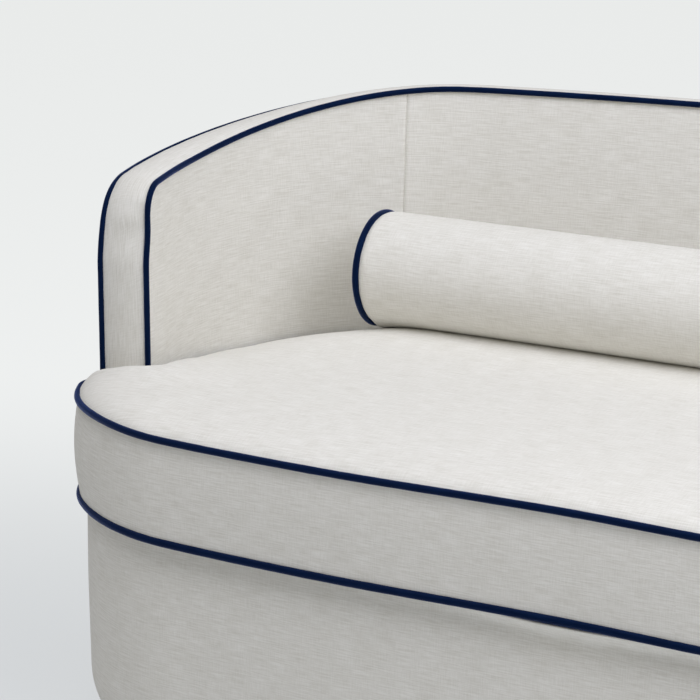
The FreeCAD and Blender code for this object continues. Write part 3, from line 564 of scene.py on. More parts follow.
# %% Band
BAND_THICK, BAND_CROWN, BAND_COLUMNS = 4.5, 6.0, 15
BAND_FLAT, BAND_PUCKER = 0.6, 0.3    # below 1 the crown is flatter; gathers at the edges
BAND_EDGE = 0.1                      # columns are spread like a half turn, less this angle at each edge
FOOT_STEPS, ROUND_STEPS, ARM_STEPS = 40, 18, 10
DENT, DENT_AT, DENT_SIZE = 1.6, (416.0, 20.0), (9.0, 16.0)     # one left by hand, along and across the band
sweep_places = places_between([1, 2, 3], [64, 66])[1:]


def edge_line(offset):
    """Left half of the wall's edge at an offset: up the arm's front, over its corner and on to the middle."""
    radius = arm_round(offset)
    angle = np.linspace(0, QUARTER, ROUND_STEPS)[1:]
    places = np.concatenate([np.zeros(FOOT_STEPS), radius * (1 - np.cos(angle)) / arm_run,
                             np.linspace(radius / arm_run, 1, ARM_STEPS)[1:], sweep_places])
    d = distance(places)
    plan, out = top_plan.at(places)
    z = edge_height(d, offset)
    z[:FOOT_STEPS] = np.linspace(DECK_Z, z[0] - radius, FOOT_STEPS)
    z[FOOT_STEPS:FOOT_STEPS + ROUND_STEPS - 1] += radius * (np.sin(angle) - 1)
    return lift(plan + out * offset + lean_back(d, z), z)


offsets = WALL * (1 - np.cos(np.linspace(BAND_EDGE, math.pi - BAND_EDGE, BAND_COLUMNS))) / 2
lines = mirror(np.stack([edge_line(o) for o in offsets]))
up = unit(np.cross(np.gradient(lines, axis=0), np.gradient(lines, axis=1)))
up *= np.sign(up[BAND_COLUMNS // 2, lines.shape[1] // 2, 2])
share = np.sin(math.pi * offsets / WALL)[:, None]
run = run_lengths(lines, 1)
rise = (BAND_CROWN + EDGE_DRAW) * share ** BAND_FLAT - EDGE_DRAW
rise = rise + BAND_PUCKER * ripple(run, (29, 47, 83), 5.0) * (1 - share)
rise -= DENT * (hump((run - DENT_AT[0]) / DENT_SIZE[0]) * hump((offsets[:, None] - DENT_AT[1]) / DENT_SIZE[1]))
band = make_piece("top_band_cloth", *slab(lines + up * rise[..., None], lines - up * BAND_THICK),
                  ivory_linen, "root", ["top_band"])
print("band runs", round(float(run[0, -1])), "mm")

# %% [markdown]
# A piping is a round cord, so it is a tube along a line. The frame is carried along the line without twisting,
# and a slight unevenness of a fraction of a millimetre keeps it from looking extruded.

# %% Piping tubes
PIPE_SIDES = 16
UNEVEN = 0.025             # share of the radius
OUTER_DROP, DROP_FROM, DROP_RUN = 2.5, 420.0, 60.0     # on top the filling pushes the outer piping over the edge


def tube(path, radius, closed=False, up=None):
    """A tube along a path of points: points, faces and thread coordinates per corner."""
    count = len(path)
    ahead = unit(np.roll(path, -1, 0) - np.roll(path, 1, 0) if closed else np.gradient(path, axis=0))
    if up is not None:
        side = unit(np.cross(ahead, np.asarray(up, float)))
    else:
        side = np.zeros_like(path)
        side[0] = unit(np.cross(ahead[0], [0.0, 1.0, 0.3]))
        for k in range(1, count):
            side[k] = unit(side[k - 1] - ahead[k] * (side[k - 1] @ ahead[k]))
    run = run_lengths(np.concatenate([path, path[:1]]))
    wide = radius * (1 + UNEVEN * ripple(run[:count], (31, 57, 97), 6.0))
    turn = rays(np.linspace(0, 2 * math.pi, PIPE_SIDES, endpoint=False))[None, :, :, None]
    ring = side[:, None] * turn[:, :, 0] + np.cross(side, ahead)[:, None] * turn[:, :, 1]
    points = (path[:, None] + ring * wide[:, None, None]).reshape(-1, 3)
    index = ring_index(count, PIPE_SIDES)
    girth = 2 * math.pi * radius / PIPE_SIDES
    face, threads = rolled(np.concatenate([index, index[:1]]) if closed else index, run, girth)
    faces, threads = face.tolist(), threads.reshape(-1, 2)
    for end in () if closed else (0, count - 1):
        faces.append(index[end, :-1].tolist())
        threads = np.concatenate([threads, lift(np.full((PIPE_SIDES, 1), run[end]), np.arange(PIPE_SIDES) * girth)])
    return points, faces, threads


for name, offset, drop in (("inner", 0.0, 0.0), ("outer", WALL, OUTER_DROP)):
    line = edge_line(offset)
    line[:, 2] -= drop * smoothstep((run_lengths(line) - DROP_FROM) / DROP_RUN)
    make_piece(name + "_piping_cord", *tube(mirror(line), PIPE_R), navy_piping, "root", [name + "_piping"])
print("wall pipings done")

# %% [markdown]
# ## The base
# The base is a deep curved skirt: padding and linen over the rails, rounding under at the bottom so that the sofa
# seems to float. Its outline is a nearly straight front, two large corners, short sides and the sweep of the back.
# The linen is rolled over the front rail, and there, under the cushion, the roll shows as a pale soft lip with a
# few creases below it.

# %% Outline of the base
FRONT_Y, FRONT_RADIUS, FRONT_CORNER = -459.0, 16000.0, 270.0
SEAM_GAP = 0.25
LEFT = (-1.0, 0.0)
base_half = HALF_WIDTH + WALL
front_centre = np.array([0.0, FRONT_Y + FRONT_RADIUS])
front_turn = math.asin((base_half - FRONT_CORNER) / (FRONT_RADIUS - FRONT_CORNER))
front_angle = -QUARTER - front_turn
front_corner = np.array([FRONT_CORNER - base_half,
                         front_centre[1] - (FRONT_RADIUS - FRONT_CORNER) * math.cos(front_turn)])
side_seam_y = (front_corner[1] + CORNER_Y) / 2


def arc(centre, radius, start, end, count):
    """Points of an arc with their outward directions."""
    ray = rays(np.linspace(start, end, count))
    return centre + radius * ray, ray


def straight(start, end, out, count):
    t = np.linspace(0, 1, count)[:, None]
    return np.asarray(start) * (1 - t) + np.asarray(end) * t, np.broadcast_to(np.asarray(out, float), (count, 2))


def chain(*parts):
    """Joins arcs and lines into one run without doubled points."""
    return [np.concatenate([parts[0][k]] + [part[k][1:] for part in parts[1:]]) for k in (0, 1)]


front_run = [np.concatenate([(half * MIRROR[:2])[:0:-1], half]) for half in chain(
    arc(front_centre, FRONT_RADIUS, -QUARTER, front_angle, 90),
    arc(front_corner, FRONT_CORNER, front_angle, -math.pi, 44),
    straight((-base_half, front_corner[1]), (-base_half, side_seam_y), LEFT, 5))]
rear_run = [np.concatenate([half, (half * MIRROR[:2])[-2::-1]]) for half in chain(
    straight((-base_half, side_seam_y + SEAM_GAP), (-base_half, CORNER_Y), LEFT, 5),
    arc(base_plan.corner, base_corner, math.pi, QUARTER + base_plan.turn, 56),
    arc(base_plan.back, base_plan.back_radius, QUARTER + base_plan.turn, QUARTER, 60))]
print("base outline:", len(front_run[0]), "and", len(rear_run[0]), "steps")

# %% Base covers
BASE_COVER = 14.0
RAIL_LOW_Z, FLOOR_GAP, TUCK = 87.0, 15.0, 25.0
BASE_SWELL, BASE_HAND = 1.5, 0.5
TOP_ROLL = 5.0             # radius of the roll over the rail
LIP, LIP_HEIGHT = 27.0, 13.0         # how far and how high the roll swells at the middle of the front
LIP_LIFT = 1.8             # the cushion presses the roll up in front of its piping
LIP_SIDE, LIP_SIDE_RUN, LIP_RUN = 175.0, 120.0, 330.0     # it is fullest a little to each side
SIDE_SHARE = 0.6
DRAW_IN, DRAW_MORE, DRAW_RUN = 9.0, 0.6, 55.0      # how far the cloth draws in below the cushion, more by the lip
DRAW_END, DRAW_FADE = 930.0, 150.0   # and where that ends at the corners
CREASE, CREASE_STEP, CREASE_SLOPE, CREASE_DOWN, CREASE_RUN = 0.8, 15.0, 0.012, 30.0, 18.0
tuck_radius = (TUCK ** 2 + (RAIL_LOW_Z - FLOOR_GAP) ** 2) / (2 * TUCK)


def tuck(z, depth):
    return np.sqrt((tuck_radius - depth) ** 2 - (RAIL_LOW_Z - z) ** 2) - tuck_radius


def base_profile():
    """Offsets and heights round the cover's section: over the roll, down the face, under and back up inside."""
    top = DECK_Z - SEAM_GAP
    roll = TOP_ROLL * (rays(np.linspace(QUARTER, 0, 9)) - 1) + (0, top)
    face_z = np.linspace(top - TOP_ROLL, RAIL_LOW_Z, 46)[1:]
    under_z = np.linspace(RAIL_LOW_Z, FLOOR_GAP, 16)[1:]
    inner_z = np.linspace(FLOOR_GAP + 1, RAIL_LOW_Z, 10)
    parts = ((0 * face_z, face_z), (tuck(under_z, 0), under_z), (tuck(inner_z, BASE_COVER), inner_z))
    return np.concatenate([[(-BASE_COVER, top), (-TOP_ROLL - 2, top)], roll] + [np.stack(p, -1) for p in parts])


def base_shape(points, offset, z, front):
    """Offset of the cover's face with its swell, lip and creases, and how far the lip is raised."""
    x = np.abs(points[None, :, 0])
    outer = offset > -BASE_COVER + 1
    face = outer & (z > RAIL_LOW_Z)
    swell = np.where(face, BASE_SWELL * np.sin(math.pi * (z - RAIL_LOW_Z) / (DECK_Z - RAIL_LOW_Z)), 0.0)
    hand = BASE_HAND * ripple(run_lengths(points), (330, 510), 7.0)[None] * ripple(z, (140, 220), 8.0)
    shaped = offset + swell + np.where(outer, hand, 0.0)
    if not front:
        return shaped, 0 * shaped
    centre = SIDE_SHARE * hump((x - LIP_SIDE) / LIP_SIDE_RUN) + (1 - SIDE_SHARE) * hump(x / LIP_RUN)
    lip = centre * hump((z - DECK_Z) / LIP_HEIGHT)
    hollow = np.exp(-np.abs(z - DECK_Z + CREASE_DOWN * centre) / DRAW_RUN) * smoothstep((DRAW_END - x) / DRAW_FADE)
    crease = np.sin(2 * math.pi * (z - CREASE_SLOPE * x) / CREASE_STEP)
    crease *= CREASE * centre * hump((z - DECK_Z + CREASE_DOWN) / CREASE_RUN)
    hollow *= DRAW_IN * (1 + DRAW_MORE * centre)
    shaped += np.where(outer, LIP * lip + crease, 0.0) - np.where(face, hollow, 0.0)
    return shaped, np.where(offset > -TOP_ROLL - 1, LIP_LIFT * lip, 0.0)


def swept_cover(run, front):
    """Closed skin of the base profile carried along a run."""
    points, out = run
    profile = base_profile()
    offset, z = profile[:, :1], profile[:, 1:]
    shaped, raised = base_shape(points, offset, z, front)
    grid = lift(points[None] + out[None] * shaped[..., None], z + raised)
    index = np.arange(shaped.size).reshape(shaped.shape)
    faces = quads(np.concatenate([index, index[:1]])).tolist() + [index[:, 0].tolist(), index[:, -1].tolist()]
    threads = np.stack(np.broadcast_arrays(run_lengths(points), run_lengths(profile)[:, None]), -1)
    return grid.reshape(-1, 3), faces, threads.reshape(-1, 2)


for name, run in (("front", front_run), ("rear", rear_run)):
    cover = make_piece("base_skirt_" + name, *swept_cover(run, name == "front"), ivory_linen, "root",
                       ["base_cover_" + name], crease=70)
print("base covers done")

# %% [markdown]
# ## The seat cushion
# One long cushion fills the seat. Its front corners are round, and two ears run out in front of the arms, so seen
# from above it is a broad T. Top, boxing and underside are sewn together at the two pipings. Its outline is the
# same arcs as the base and the wall, and the rings of the mesh are that outline, drawn in step by step, so that
# the seams lie exactly on mesh edges.

# %% Outline of the cushion
OVERHANG = 8.0
REST_GAP = 0.3
EDGE_GAP = 10.0            # cushion seam to the wall
EAR_FILLET, EAR_LEAST, EAR_NOTCH = 26.0, 5.0, 6.0
EAR_FULL, EAR_FROM, EAR_RUN = 4.0, 930.0, 110.0     # filling pushes the ears outwards


def leave_circle(point, way, centre, radius):
    gap = point - centre
    half = gap @ way
    return point + way * (math.sqrt(half * half - gap @ gap + radius * radius) - half)


def bend(centre, start, end, count):
    """The short arc round a centre from one point to another."""
    first, last = np.unwrap([math.atan2(*(p - centre)[::-1]) for p in (start, end)])
    return arc(centre, np.linalg.norm(start - centre), first, last, count)


def on_line(point, way, other):
    """The place nearest to another point on a line."""
    return point + way * ((other - point) @ way)


def cushion_ring(inset):
    """Closed outline of the cushion, drawn in by inset, always with the same number of points."""
    corner_r = FRONT_CORNER + OVERHANG - inset
    grown = EDGE_GAP + inset
    sweep = seat_level(grown)
    ear_point = arm_front + arm_way * grown
    fillet = max(EAR_FILLET - inset, EAR_LEAST)
    ear_centre = leave_circle(ear_point + arm_way * fillet, arm_out, front_corner, corner_r - fillet)
    out = unit(ear_centre - front_corner)
    ear_end = on_line(ear_point, arm_out, ear_centre)
    notch_r = EAR_NOTCH + inset
    centre = on_line(sweep.arc_end + arm_out * notch_r, arm_way, ear_point - arm_way * notch_r)
    notch_start = on_line(ear_point, arm_out, centre)
    notch_end = on_line(sweep.arc_end, arm_way, centre)
    half = chain(
        arc(front_centre, FRONT_RADIUS + OVERHANG - inset, -QUARTER, front_angle, 66),
        arc(front_corner, corner_r, front_angle, math.atan2(-out[1], -out[0]) - math.pi, 40),
        bend(ear_centre, front_corner + out * corner_r, ear_end, 9),
        straight(ear_end, notch_start, arm_way, 7),
        bend(centre, notch_start, notch_end, 7),
        straight(notch_end, sweep.arc_end, arm_out, 14),
        arc(sweep.corner, sweep.radius, ARM_ANGLE, QUARTER + sweep.turn, 44),
        arc(sweep.back, sweep.back_radius, QUARTER + sweep.turn, QUARTER, 58))[0]
    half[:, 0] -= EAR_FULL * smoothstep((-half[:, 0] - EAR_FROM) / EAR_RUN)
    return np.concatenate([half, (half * MIRROR[:2])[-2:0:-1]])


seam_ring = cushion_ring(0.0)
ring_size = len(seam_ring)
seam_run = run_lengths(np.concatenate([seam_ring, seam_ring[:1]]))
seam_way = np.roll(seam_ring, -1, 0) - np.roll(seam_ring, 1, 0)
seam_out = unit(np.stack([seam_way[:, 1], -seam_way[:, 0]], -1))
if seam_out[0, 1] > 0:
    seam_out = -seam_out
print("cushion seam is", round(seam_run[-1]), "mm long in", ring_size, "steps")

# %% [markdown]
# The panels start a little flat and are blown up by cloth simulation: the seams are held, and air pressure swells
# the top and the boxing between them, as a foam and feather filling does. How far a point may move is capped, so
# the crown keeps its measured height and the bolster still rests on it.

# %% Shape of the cushion
CROWN_RINGS = [0, 2.5, 5.5, 9.5, 15, 22, 31, 43, 56, 70]
FRONT_RISE = [0, 4.6, 9.2, 13.2, 17.0, 20.0, 22.4, 24.3, 25.5, 26.4]   # swelling up behind the front piping
EAR_RISE = [0, 4.0, 9.0, 14.0, 18.5, 22.0, 24.5, 26.0, 27.0, 27.4]     # pressed up against the arm's front
WALL_RISE = [0, 1.0, 3.0, 5.5, 8.0, 10.5, 13.5, 17.0, 20.5, 24.5]      # a long slope down to the arm and back
WALL_SINK = 14.0           # how much lower the upper seam lies there
PRESS, PRESS_X, PRESS_Y, PRESS_RUN = 17.0, 942.0, -240.0, 66.0         # the arm's corner presses the filling up
REAR_FULL, REAR_Y, REAR_RUN, REAR_END, REAR_FADE = 11.0, 130.0, 110.0, 840.0, 160.0   # before the bolster
BOXING = PIPE_HIGH_Z - PIPE_LOW_Z
FRONT_SWELL, EAR_SWELL, WALL_SWELL = 3.0, 8.5, 2.4
FOOT_OUT, FOOT_Y, FOOT_FADE = 3.5, -300.0, 100.0     # the front of the boxing stands out at its foot
SET_IN, SET_IN_RUN, EAR_SET_IN = 6.5, 17.0, 0.3     # the boxing is drawn in under the upper piping
EAR_SAG, SAG_X, SAG_Y, SAG_FADE = 6.0, 920.0, -190.0, 40.0     # the ears hang a little at their ends
EAR_END_X, EAR_END_RUN = 880.0, 130.0
WAVE_Y, WAVE_FADE = -260.0, 160.0    # the wave belongs to the front
# Hand-sewn edges wave: heights of the front seams at places along the front
WAVE_X = [-1060, -900, -800, -720, -580, -480, -277, -147, 30, 210, 430, 640, 800, 1060]
WAVE_Z = [0, -1.0, -4.5, -6.0, -6.0, -5.5, -1.0, 0.8, -3.0, -4.0, -1.0, -4.0, -3.0, 0]
# Where ear and wall begin and end on half of the outline, by the number of its points
EAR_STOPS, WALL_STOPS = [100, 106, 126, 140], [131, 149]
SMOOTHING = 30


def both_halves(stops, shares):
    half = np.interp(np.arange(ring_size // 2 + 1), stops, shares)
    return np.concatenate([half, half[-2:0:-1]])


seam_x, seam_y = np.abs(seam_ring[:, 0]), seam_ring[:, 1]
ear_share, wall_share = both_halves(EAR_STOPS, [0, 1, 1, 0]), both_halves(WALL_STOPS, [0, 1])
wave = np.interp(seam_ring[:, 0], WAVE_X, WAVE_Z) * smoothstep((WAVE_Y - seam_y) / WAVE_FADE)
wave -= EAR_SAG * smoothstep((seam_x - SAG_X) / EAR_RUN) * smoothstep((SAG_Y - seam_y) / SAG_FADE)
for _ in range(SMOOTHING):
    wave = (np.roll(wave, 1) + 2 * wave + np.roll(wave, -1)) / 4
top_seam = wave - WALL_SINK * wall_share
ear_end = smoothstep((seam_x - EAR_END_X) / EAR_END_RUN) * (1 - wall_share)
box_swell = FRONT_SWELL + (EAR_SWELL - FRONT_SWELL) * ear_end + (WALL_SWELL - FRONT_SWELL) * wall_share
foot_out = FOOT_OUT * (1 - ear_end) * smoothstep((FOOT_Y - seam_y) / FOOT_FADE)
set_in = SET_IN * (1 - (1 - EAR_SET_IN) * ear_end) * (1 - wall_share)


def arm_press(points):
    """Extra height where the arm's front corner presses the filling up."""
    return PRESS * hump(np.hypot(np.abs(points[:, 0]) - PRESS_X, points[:, 1] - PRESS_Y) / PRESS_RUN)


def bolster_full(points):
    """Extra fullness where the bolster's weight sits back in the cushion."""
    ends = smoothstep((REAR_END - np.abs(points[:, 0])) / REAR_FADE)
    return REAR_FULL * hump((points[:, 1] - REAR_Y) / REAR_RUN) * ends


def crown_rise(inset):
    """Height of the filled top above its seam, all round the outline."""
    front, ear, wall = (np.interp(inset, CROWN_RINGS, rise) for rise in (FRONT_RISE, EAR_RISE, WALL_RISE))
    return front + (ear - front) * ear_share + (wall - front) * wall_share * (1 - ear_share)


print("front seams wave by", round(float(np.ptp(wave)), 1), "mm")

# %% Cushion mesh before filling
UNDER_RINGS = [78, 45, 22, 10, 4, 0]
UNDER_DROP = [8.0, 8.0, 8.0, 6.5, 3.5, 0]
BOX_ROWS = 15
EAR_RINGS, EAR_CROWDING = 40.0, 0.3  # from there the rings draw in more slowly in the narrow ears
START_SHARE = 0.7          # of the crown, before it is blown up
CROWN_RUN = 100.0          # from the last ring to the full crown
FILL_STEP, FILL_CLEAR = 22.0, 0.6     # step of the grid, and the share of it kept clear at the ring
WAVE_RUN, PRESS_IN = 12.0, 25.0      # how far the wave reaches under, and the press begins, from the seam


def fill_inside(ring):
    """Triangles that close a ring, with extra points on a grid inside it."""
    axes = [np.arange(ring[:, k].min(), ring[:, k].max(), FILL_STEP) for k in (0, 1)]
    grid = np.stack(np.meshgrid(*axes), -1).reshape(-1, 2)
    ahead = np.roll(ring, -1, 0)
    step = ahead - ring
    crossing = (ring[:, 1] > grid[:, 1:]) != (ahead[:, 1] > grid[:, 1:])
    x_hit = ring[:, 0] + (grid[:, 1:] - ring[:, 1]) * step[:, 0] / np.where(step[:, 1] == 0, 1e-9, step[:, 1])
    inside = (crossing & (grid[:, :1] < x_hit)).sum(1) % 2 == 1
    clear = np.array([np.min(np.linalg.norm(ring - g, axis=1)) for g in grid]) > FILL_CLEAR * FILL_STEP
    grid = grid[inside & clear]
    flat = [Vector(p) for p in ring.tolist() + grid.tolist()]
    found = geometry.delaunay_2d_cdt(flat, [], [list(range(len(ring)))], 1, 1e-6)
    order = [origin[0] for origin in found[3]]
    return grid, [[order[v] for v in f] for f in found[2]]


def renumbered(triangles, ring_first, grid_first):
    """Triangles of a filled ring, with the numbers that ring and grid have in a mesh."""
    return [[ring_first + v if v < ring_size else grid_first + v - ring_size for v in t] for t in triangles]


rings, targets, levels = [], [], []     # levels: under, boxing or top, with the inset or the share of the height
for inset, drop in zip(UNDER_RINGS, UNDER_DROP):
    least = DECK_Z + REST_GAP if inset > OVERHANG else 0
    z = np.maximum(PIPE_LOW_Z - drop + wave * math.exp(-inset / WAVE_RUN), least)
    rings.append(lift(cushion_ring(inset) + seam_out * foot_out[:, None], z))
    targets.append(rings[-1])
    levels.append(("under", inset))
for level in np.linspace(0, 1, BOX_ROWS)[1:]:
    z = PIPE_LOW_Z + wave + (BOXING + top_seam - wave) * level
    foot = foot_out * (1 - level)
    swell = box_swell * math.sin(math.pi * level) + foot
    swell -= set_in * math.exp(-(1 - level) * BOXING / SET_IN_RUN) * (level < 1)
    start = foot + (swell - foot) * START_SHARE / 2
    rings.append(lift(seam_ring + seam_out * start[:, None], z))
    targets.append(lift(seam_ring + seam_out * swell[:, None], z))
    levels.append(("boxing", level))
for inset in CROWN_RINGS[1:]:
    crowded = min(inset, EAR_RINGS + EAR_CROWDING * (inset - EAR_RINGS))
    ring = cushion_ring(inset) * (1 - ear_share[:, None]) + cushion_ring(crowded) * ear_share[:, None]
    reach = np.minimum(inset, np.linalg.norm(ring[:, None] - seam_ring[None], axis=2).min(1))
    rise = crown_rise(reach) + arm_press(ring) * smoothstep(reach / PRESS_IN)
    rings.append(lift(ring, PIPE_HIGH_Z + top_seam + START_SHARE * rise))
    targets.append(lift(ring, PIPE_HIGH_Z + top_seam + rise))
    levels.append(("top", inset))
cushion_points, target_points = np.concatenate(rings), np.concatenate(targets)
ring_count = len(cushion_points)
print("cushion rings:", len(rings), "points:", ring_count)

# %% Cushion faces and threads
face = quads(ring_index(len(rings), ring_size))
boxed = np.repeat([level[0] == "boxing" for level in levels[1:]], ring_size)
column = np.arange(len(face))[boxed, None] % ring_size
threads = cushion_points[face, :2]
threads[boxed, :, 0] = seam_run[column + [0, 1, 1, 0]]
threads[boxed, :, 1] = cushion_points[face[boxed][:, [0, 0, 2, 2]], 2]
cushion_faces, cushion_threads = face.tolist(), threads.reshape(-1, 2)
for k in (0, len(rings) - 1):
    grid, triangles = fill_inside(rings[k][:, :2])
    first = len(cushion_points)
    away = np.linalg.norm(grid[:, None] - rings[k][None, :, :2], axis=2)
    nearest = away.argmin(1)
    if k:
        ease = 1 - (1 - np.clip(away.min(1) / CROWN_RUN, 0, 1)) ** 2
        full = targets[k][nearest, 2] * (1 - ease) + (SEAT_Z + arm_press(grid) + bolster_full(grid)) * ease
        start = PIPE_HIGH_Z + START_SHARE * (SEAT_Z - PIPE_HIGH_Z)
        flat = rings[k][nearest, 2] * (1 - ease) + start * ease
        top_fill = slice(first, first + len(grid))
    else:
        full = flat = np.full(len(grid), DECK_Z + REST_GAP)
    cushion_points = np.concatenate([cushion_points, lift(grid, flat)])
    target_points = np.concatenate([target_points, lift(grid, full)])
    closing = renumbered(triangles, k * ring_size, first)
    cushion_faces += closing
    cushion_threads = np.concatenate([cushion_threads, cushion_points[np.ravel(closing), :2]])
print("cushion faces:", len(cushion_faces))

# %% [markdown]
# The simulation runs on a plain copy of the mesh. Its result is read point by point, capped and given to the real
# piece. Part of the way the cushion is then held to the measured crown.

# %% Blowing up with cloth simulation
SIM_FRAMES = 20
CLOTH = {"quality": 5, "mass": 0.3, "tension_stiffness": 12.0, "compression_stiffness": 12.0, "shear_stiffness": 6.0,
         "bending_stiffness": 2.0, "use_pressure": True, "vertex_group_mass": "held"}


def blow_up(name, points, faces, held, pressure):
    """Points after cloth has been blown up with some of them held."""
    mesh = closed_mesh(name, points, faces)
    face_out(mesh)
    trial = put(name, mesh)
    trial.vertex_groups.new(name="held").add([int(v) for v in np.flatnonzero(held)], 1.0, "REPLACE")
    cloth = trial.modifiers.new("cloth", "CLOTH")
    for key, value in CLOTH.items():
        setattr(cloth.settings, key, value)
    cloth.settings.uniform_pressure_force = pressure
    cloth.settings.effector_weights.gravity = 0.0
    cloth.collision_settings.use_collision = False
    cloth.point_cache.frame_start, cloth.point_cache.frame_end = 1, SIM_FRAMES
    for step in range(1, SIM_FRAMES + 1):
        scene.frame_set(step)
    ready = trial.evaluated_get(bpy.context.evaluated_depsgraph_get())
    result = np.zeros(len(points) * 3, np.float32)
    ready.data.vertices.foreach_get("co", result)
    bpy.data.objects.remove(trial)
    bpy.data.meshes.remove(mesh)
    scene.frame_set(1)
    return result.reshape(-1, 3).astype(float) / MM


def capped(start, moved, cap):
    """Moves points towards their simulated place, easing off at the cap."""
    step = moved - start
    length = np.linalg.norm(step, axis=1, keepdims=True)
    cap = cap[:, None]
    return start + step / np.maximum(length, 1e-9) * cap * np.tanh(2 * length / np.maximum(cap, 1e-9))


print("simulation", "on")

# %% Filling the cushion
SIM_SHARE = 0.3            # the rest is held to the measured crown
SEAT_PRESSURE = 4.0
kind = np.repeat([level[0] for level in levels], ring_size)
share = np.repeat([float(level[1]) for level in levels], ring_size)
on_top, on_boxing = kind == "top", (kind == "boxing") & (share < 1)
free = np.zeros(len(cushion_points), bool)
free[:ring_count] = on_top | on_boxing
free[top_fill] = True
cap = np.where(free, np.linalg.norm(target_points - cushion_points, axis=1), 0.0)
filled = target_points.copy()
moved = blow_up("cushion_trial", cushion_points, cushion_faces, ~free, SEAT_PRESSURE)
filled = SIM_SHARE * capped(cushion_points, moved, cap) + (1 - SIM_SHARE) * target_points
print("cushion is filled up to", round(float(filled[:, 2].max()), 1), "mm; its plain crown is", SEAT_Z, "mm")

# %% [markdown]
# Sewing leaves small gathers beside each piping, a few millimetres long and uneven. They are added after the
# simulation, on the rings nearest the seams.

# %% Gathers and the finished cushion
GATHER, GATHER_TOP, GATHER_BOXING = 0.9, 14.0, 20.0     # depth, and reach from the seam
HAND = 0.8                 # hollows left by hands
beside = np.where(on_top, hump(share / GATHER_TOP) * (share > 1), 0.0)
beside += np.where(on_boxing, hump(np.minimum(share, 1 - share) * BOXING / GATHER_BOXING), 0.0)
gather = GATHER * beside * ripple(np.tile(seam_run[:-1], len(rings)), (27, 41, 68), 9.0)
hand = HAND * ripple(filled[:, 0], (310, 530), 10.0) * ripple(filled[:, 1], (240, 390), 11.0)
filled[top_fill, 2] += np.minimum(hand[top_fill], 0.0)
filled[:ring_count, 2] += gather * on_top
filled[:ring_count, :2] += np.tile(seam_out, (len(rings), 1)) * (gather * on_boxing)[:, None]
cushion = make_piece("seat_cushion", filled, cushion_faces, cushion_threads, ivory_linen, "seat_cushion",
                     ["seat_cushion_cover", "seat_cushion_core"], crease=180)
cushion.modifiers.new("smooth", "SUBSURF").render_levels = 1
print("seat cushion top", round(float(filled[:, 2].max()), 1), "mm")

# %% Cushion pipings
PIPE_ROLL = 9.0            # the piping is rolled under where the wall presses on it
for name, z, radius, out_by in (("top", PIPE_HIGH_Z + top_seam - PIPE_ROLL * wall_share, LOOSE_PIPE_R, 0 * foot_out),
                                ("bottom", PIPE_LOW_Z + wave, LOW_PIPE_R, foot_out)):
    path = lift(seam_ring + seam_out * out_by[:, None], z)
    make_piece("seat_piping_" + name, *tube(path, radius, True, (0, 0, 1)), navy_piping, "seat_cushion",
               ["seat_cushion_piping_" + name])
print("cushion pipings done")

# %% [markdown]
# ## The bolster
# A long round bolster lies along the back. It is a roll of wadding in a linen tube with a round disc at each end
# and piping in the seams. It is blown up in the same way, and its underside is pressed flat where it lies on the
# seat. The end discs give way a little with their piping.

# %% Bolster mesh
BOLSTER_R, BOLSTER_LENGTH, BOLSTER_DOME = 88.0, 1524.0, 12.0
BOLSTER_GAP = 15.0
AROUND, ALONG = 96, 120
DISC_SHARES = np.array([0.97, 0.9, 0.78, 0.62, 0.44, 0.26, 0.1])
PUFF_RUN = [0, 4, 8, 14, 24]         # the tube swells up from its seam
PUFF = [-3.0, -1.5, 2.0, PIPE_R - 0.8, PIPE_R - 1.0]
X_WAY = np.array([1.0, 0.0, 0.0])
bolster_half = BOLSTER_LENGTH / 2
wall_reach = math.sqrt(seat_plan.radius ** 2 - (bolster_half + BOLSTER_DOME + seat_plan.corner[0]) ** 2)
axis_point = np.array([0.0, CORNER_Y + wall_reach - BOLSTER_R - BOLSTER_GAP, SEAT_Z + REST_GAP + BOLSTER_R])
seam_r = BOLSTER_R - PIPE_R
angle = np.linspace(0, 2 * math.pi, AROUND, endpoint=False)
ray = np.concatenate([np.zeros((AROUND, 1)), rays(angle)], -1)
spread = np.linspace(-1, 1, ALONG)
body_x = bolster_half * (0.6 * np.sin(QUARTER * spread) + 0.4 * spread)     # rows crowd at the ends
disc_r, disc_x = seam_r * DISC_SHARES, bolster_half + BOLSTER_DOME * (1 - DISC_SHARES ** 2)
body_r = seam_r + np.interp(bolster_half - np.abs(body_x), PUFF_RUN, PUFF)
section = np.stack([np.concatenate([-disc_x[::-1], body_x, disc_x]),
                    np.concatenate([disc_r[::-1], body_r, disc_r])], -1)
bolster_points = (axis_point + section[:, :1, None] * X_WAY + section[:, 1:, None] * ray[None]).reshape(-1, 3)
print("bolster axis at y %.1f, z %.1f mm" % tuple(axis_point[1:]))

# %% Bolster faces and filling
BOLSTER_PRESSURE = 3.0
BODY_CAP, DISC_CAP = 2.4, 2.0
rows, discs = len(section), len(disc_r)
index = ring_index(rows, AROUND)
face, threads = rolled(index, section[:, 0], 2 * math.pi * BOLSTER_R / AROUND)
row = np.arange(len(face)) // AROUND
on_disc = (row < discs) | (row >= rows - discs - 1)
threads[on_disc] = bolster_points[face[on_disc], 1:]
closing = index[[0, -1], :-1]
bolster_faces = face.tolist() + closing.tolist()
bolster_threads = np.concatenate([threads.reshape(-1, 2), bolster_points[closing.ravel(), 1:]])
cap = np.full((rows, AROUND), BODY_CAP)
cap[:discs] = cap[rows - discs:] = DISC_CAP
cap[[discs, rows - discs - 1]] = 0.0
held = (cap == 0).ravel()
moved = blow_up("bolster_trial", bolster_points, bolster_faces, held, BOLSTER_PRESSURE)
plump = capped(bolster_points, moved, cap.ravel())
print("bolster faces:", len(bolster_faces))

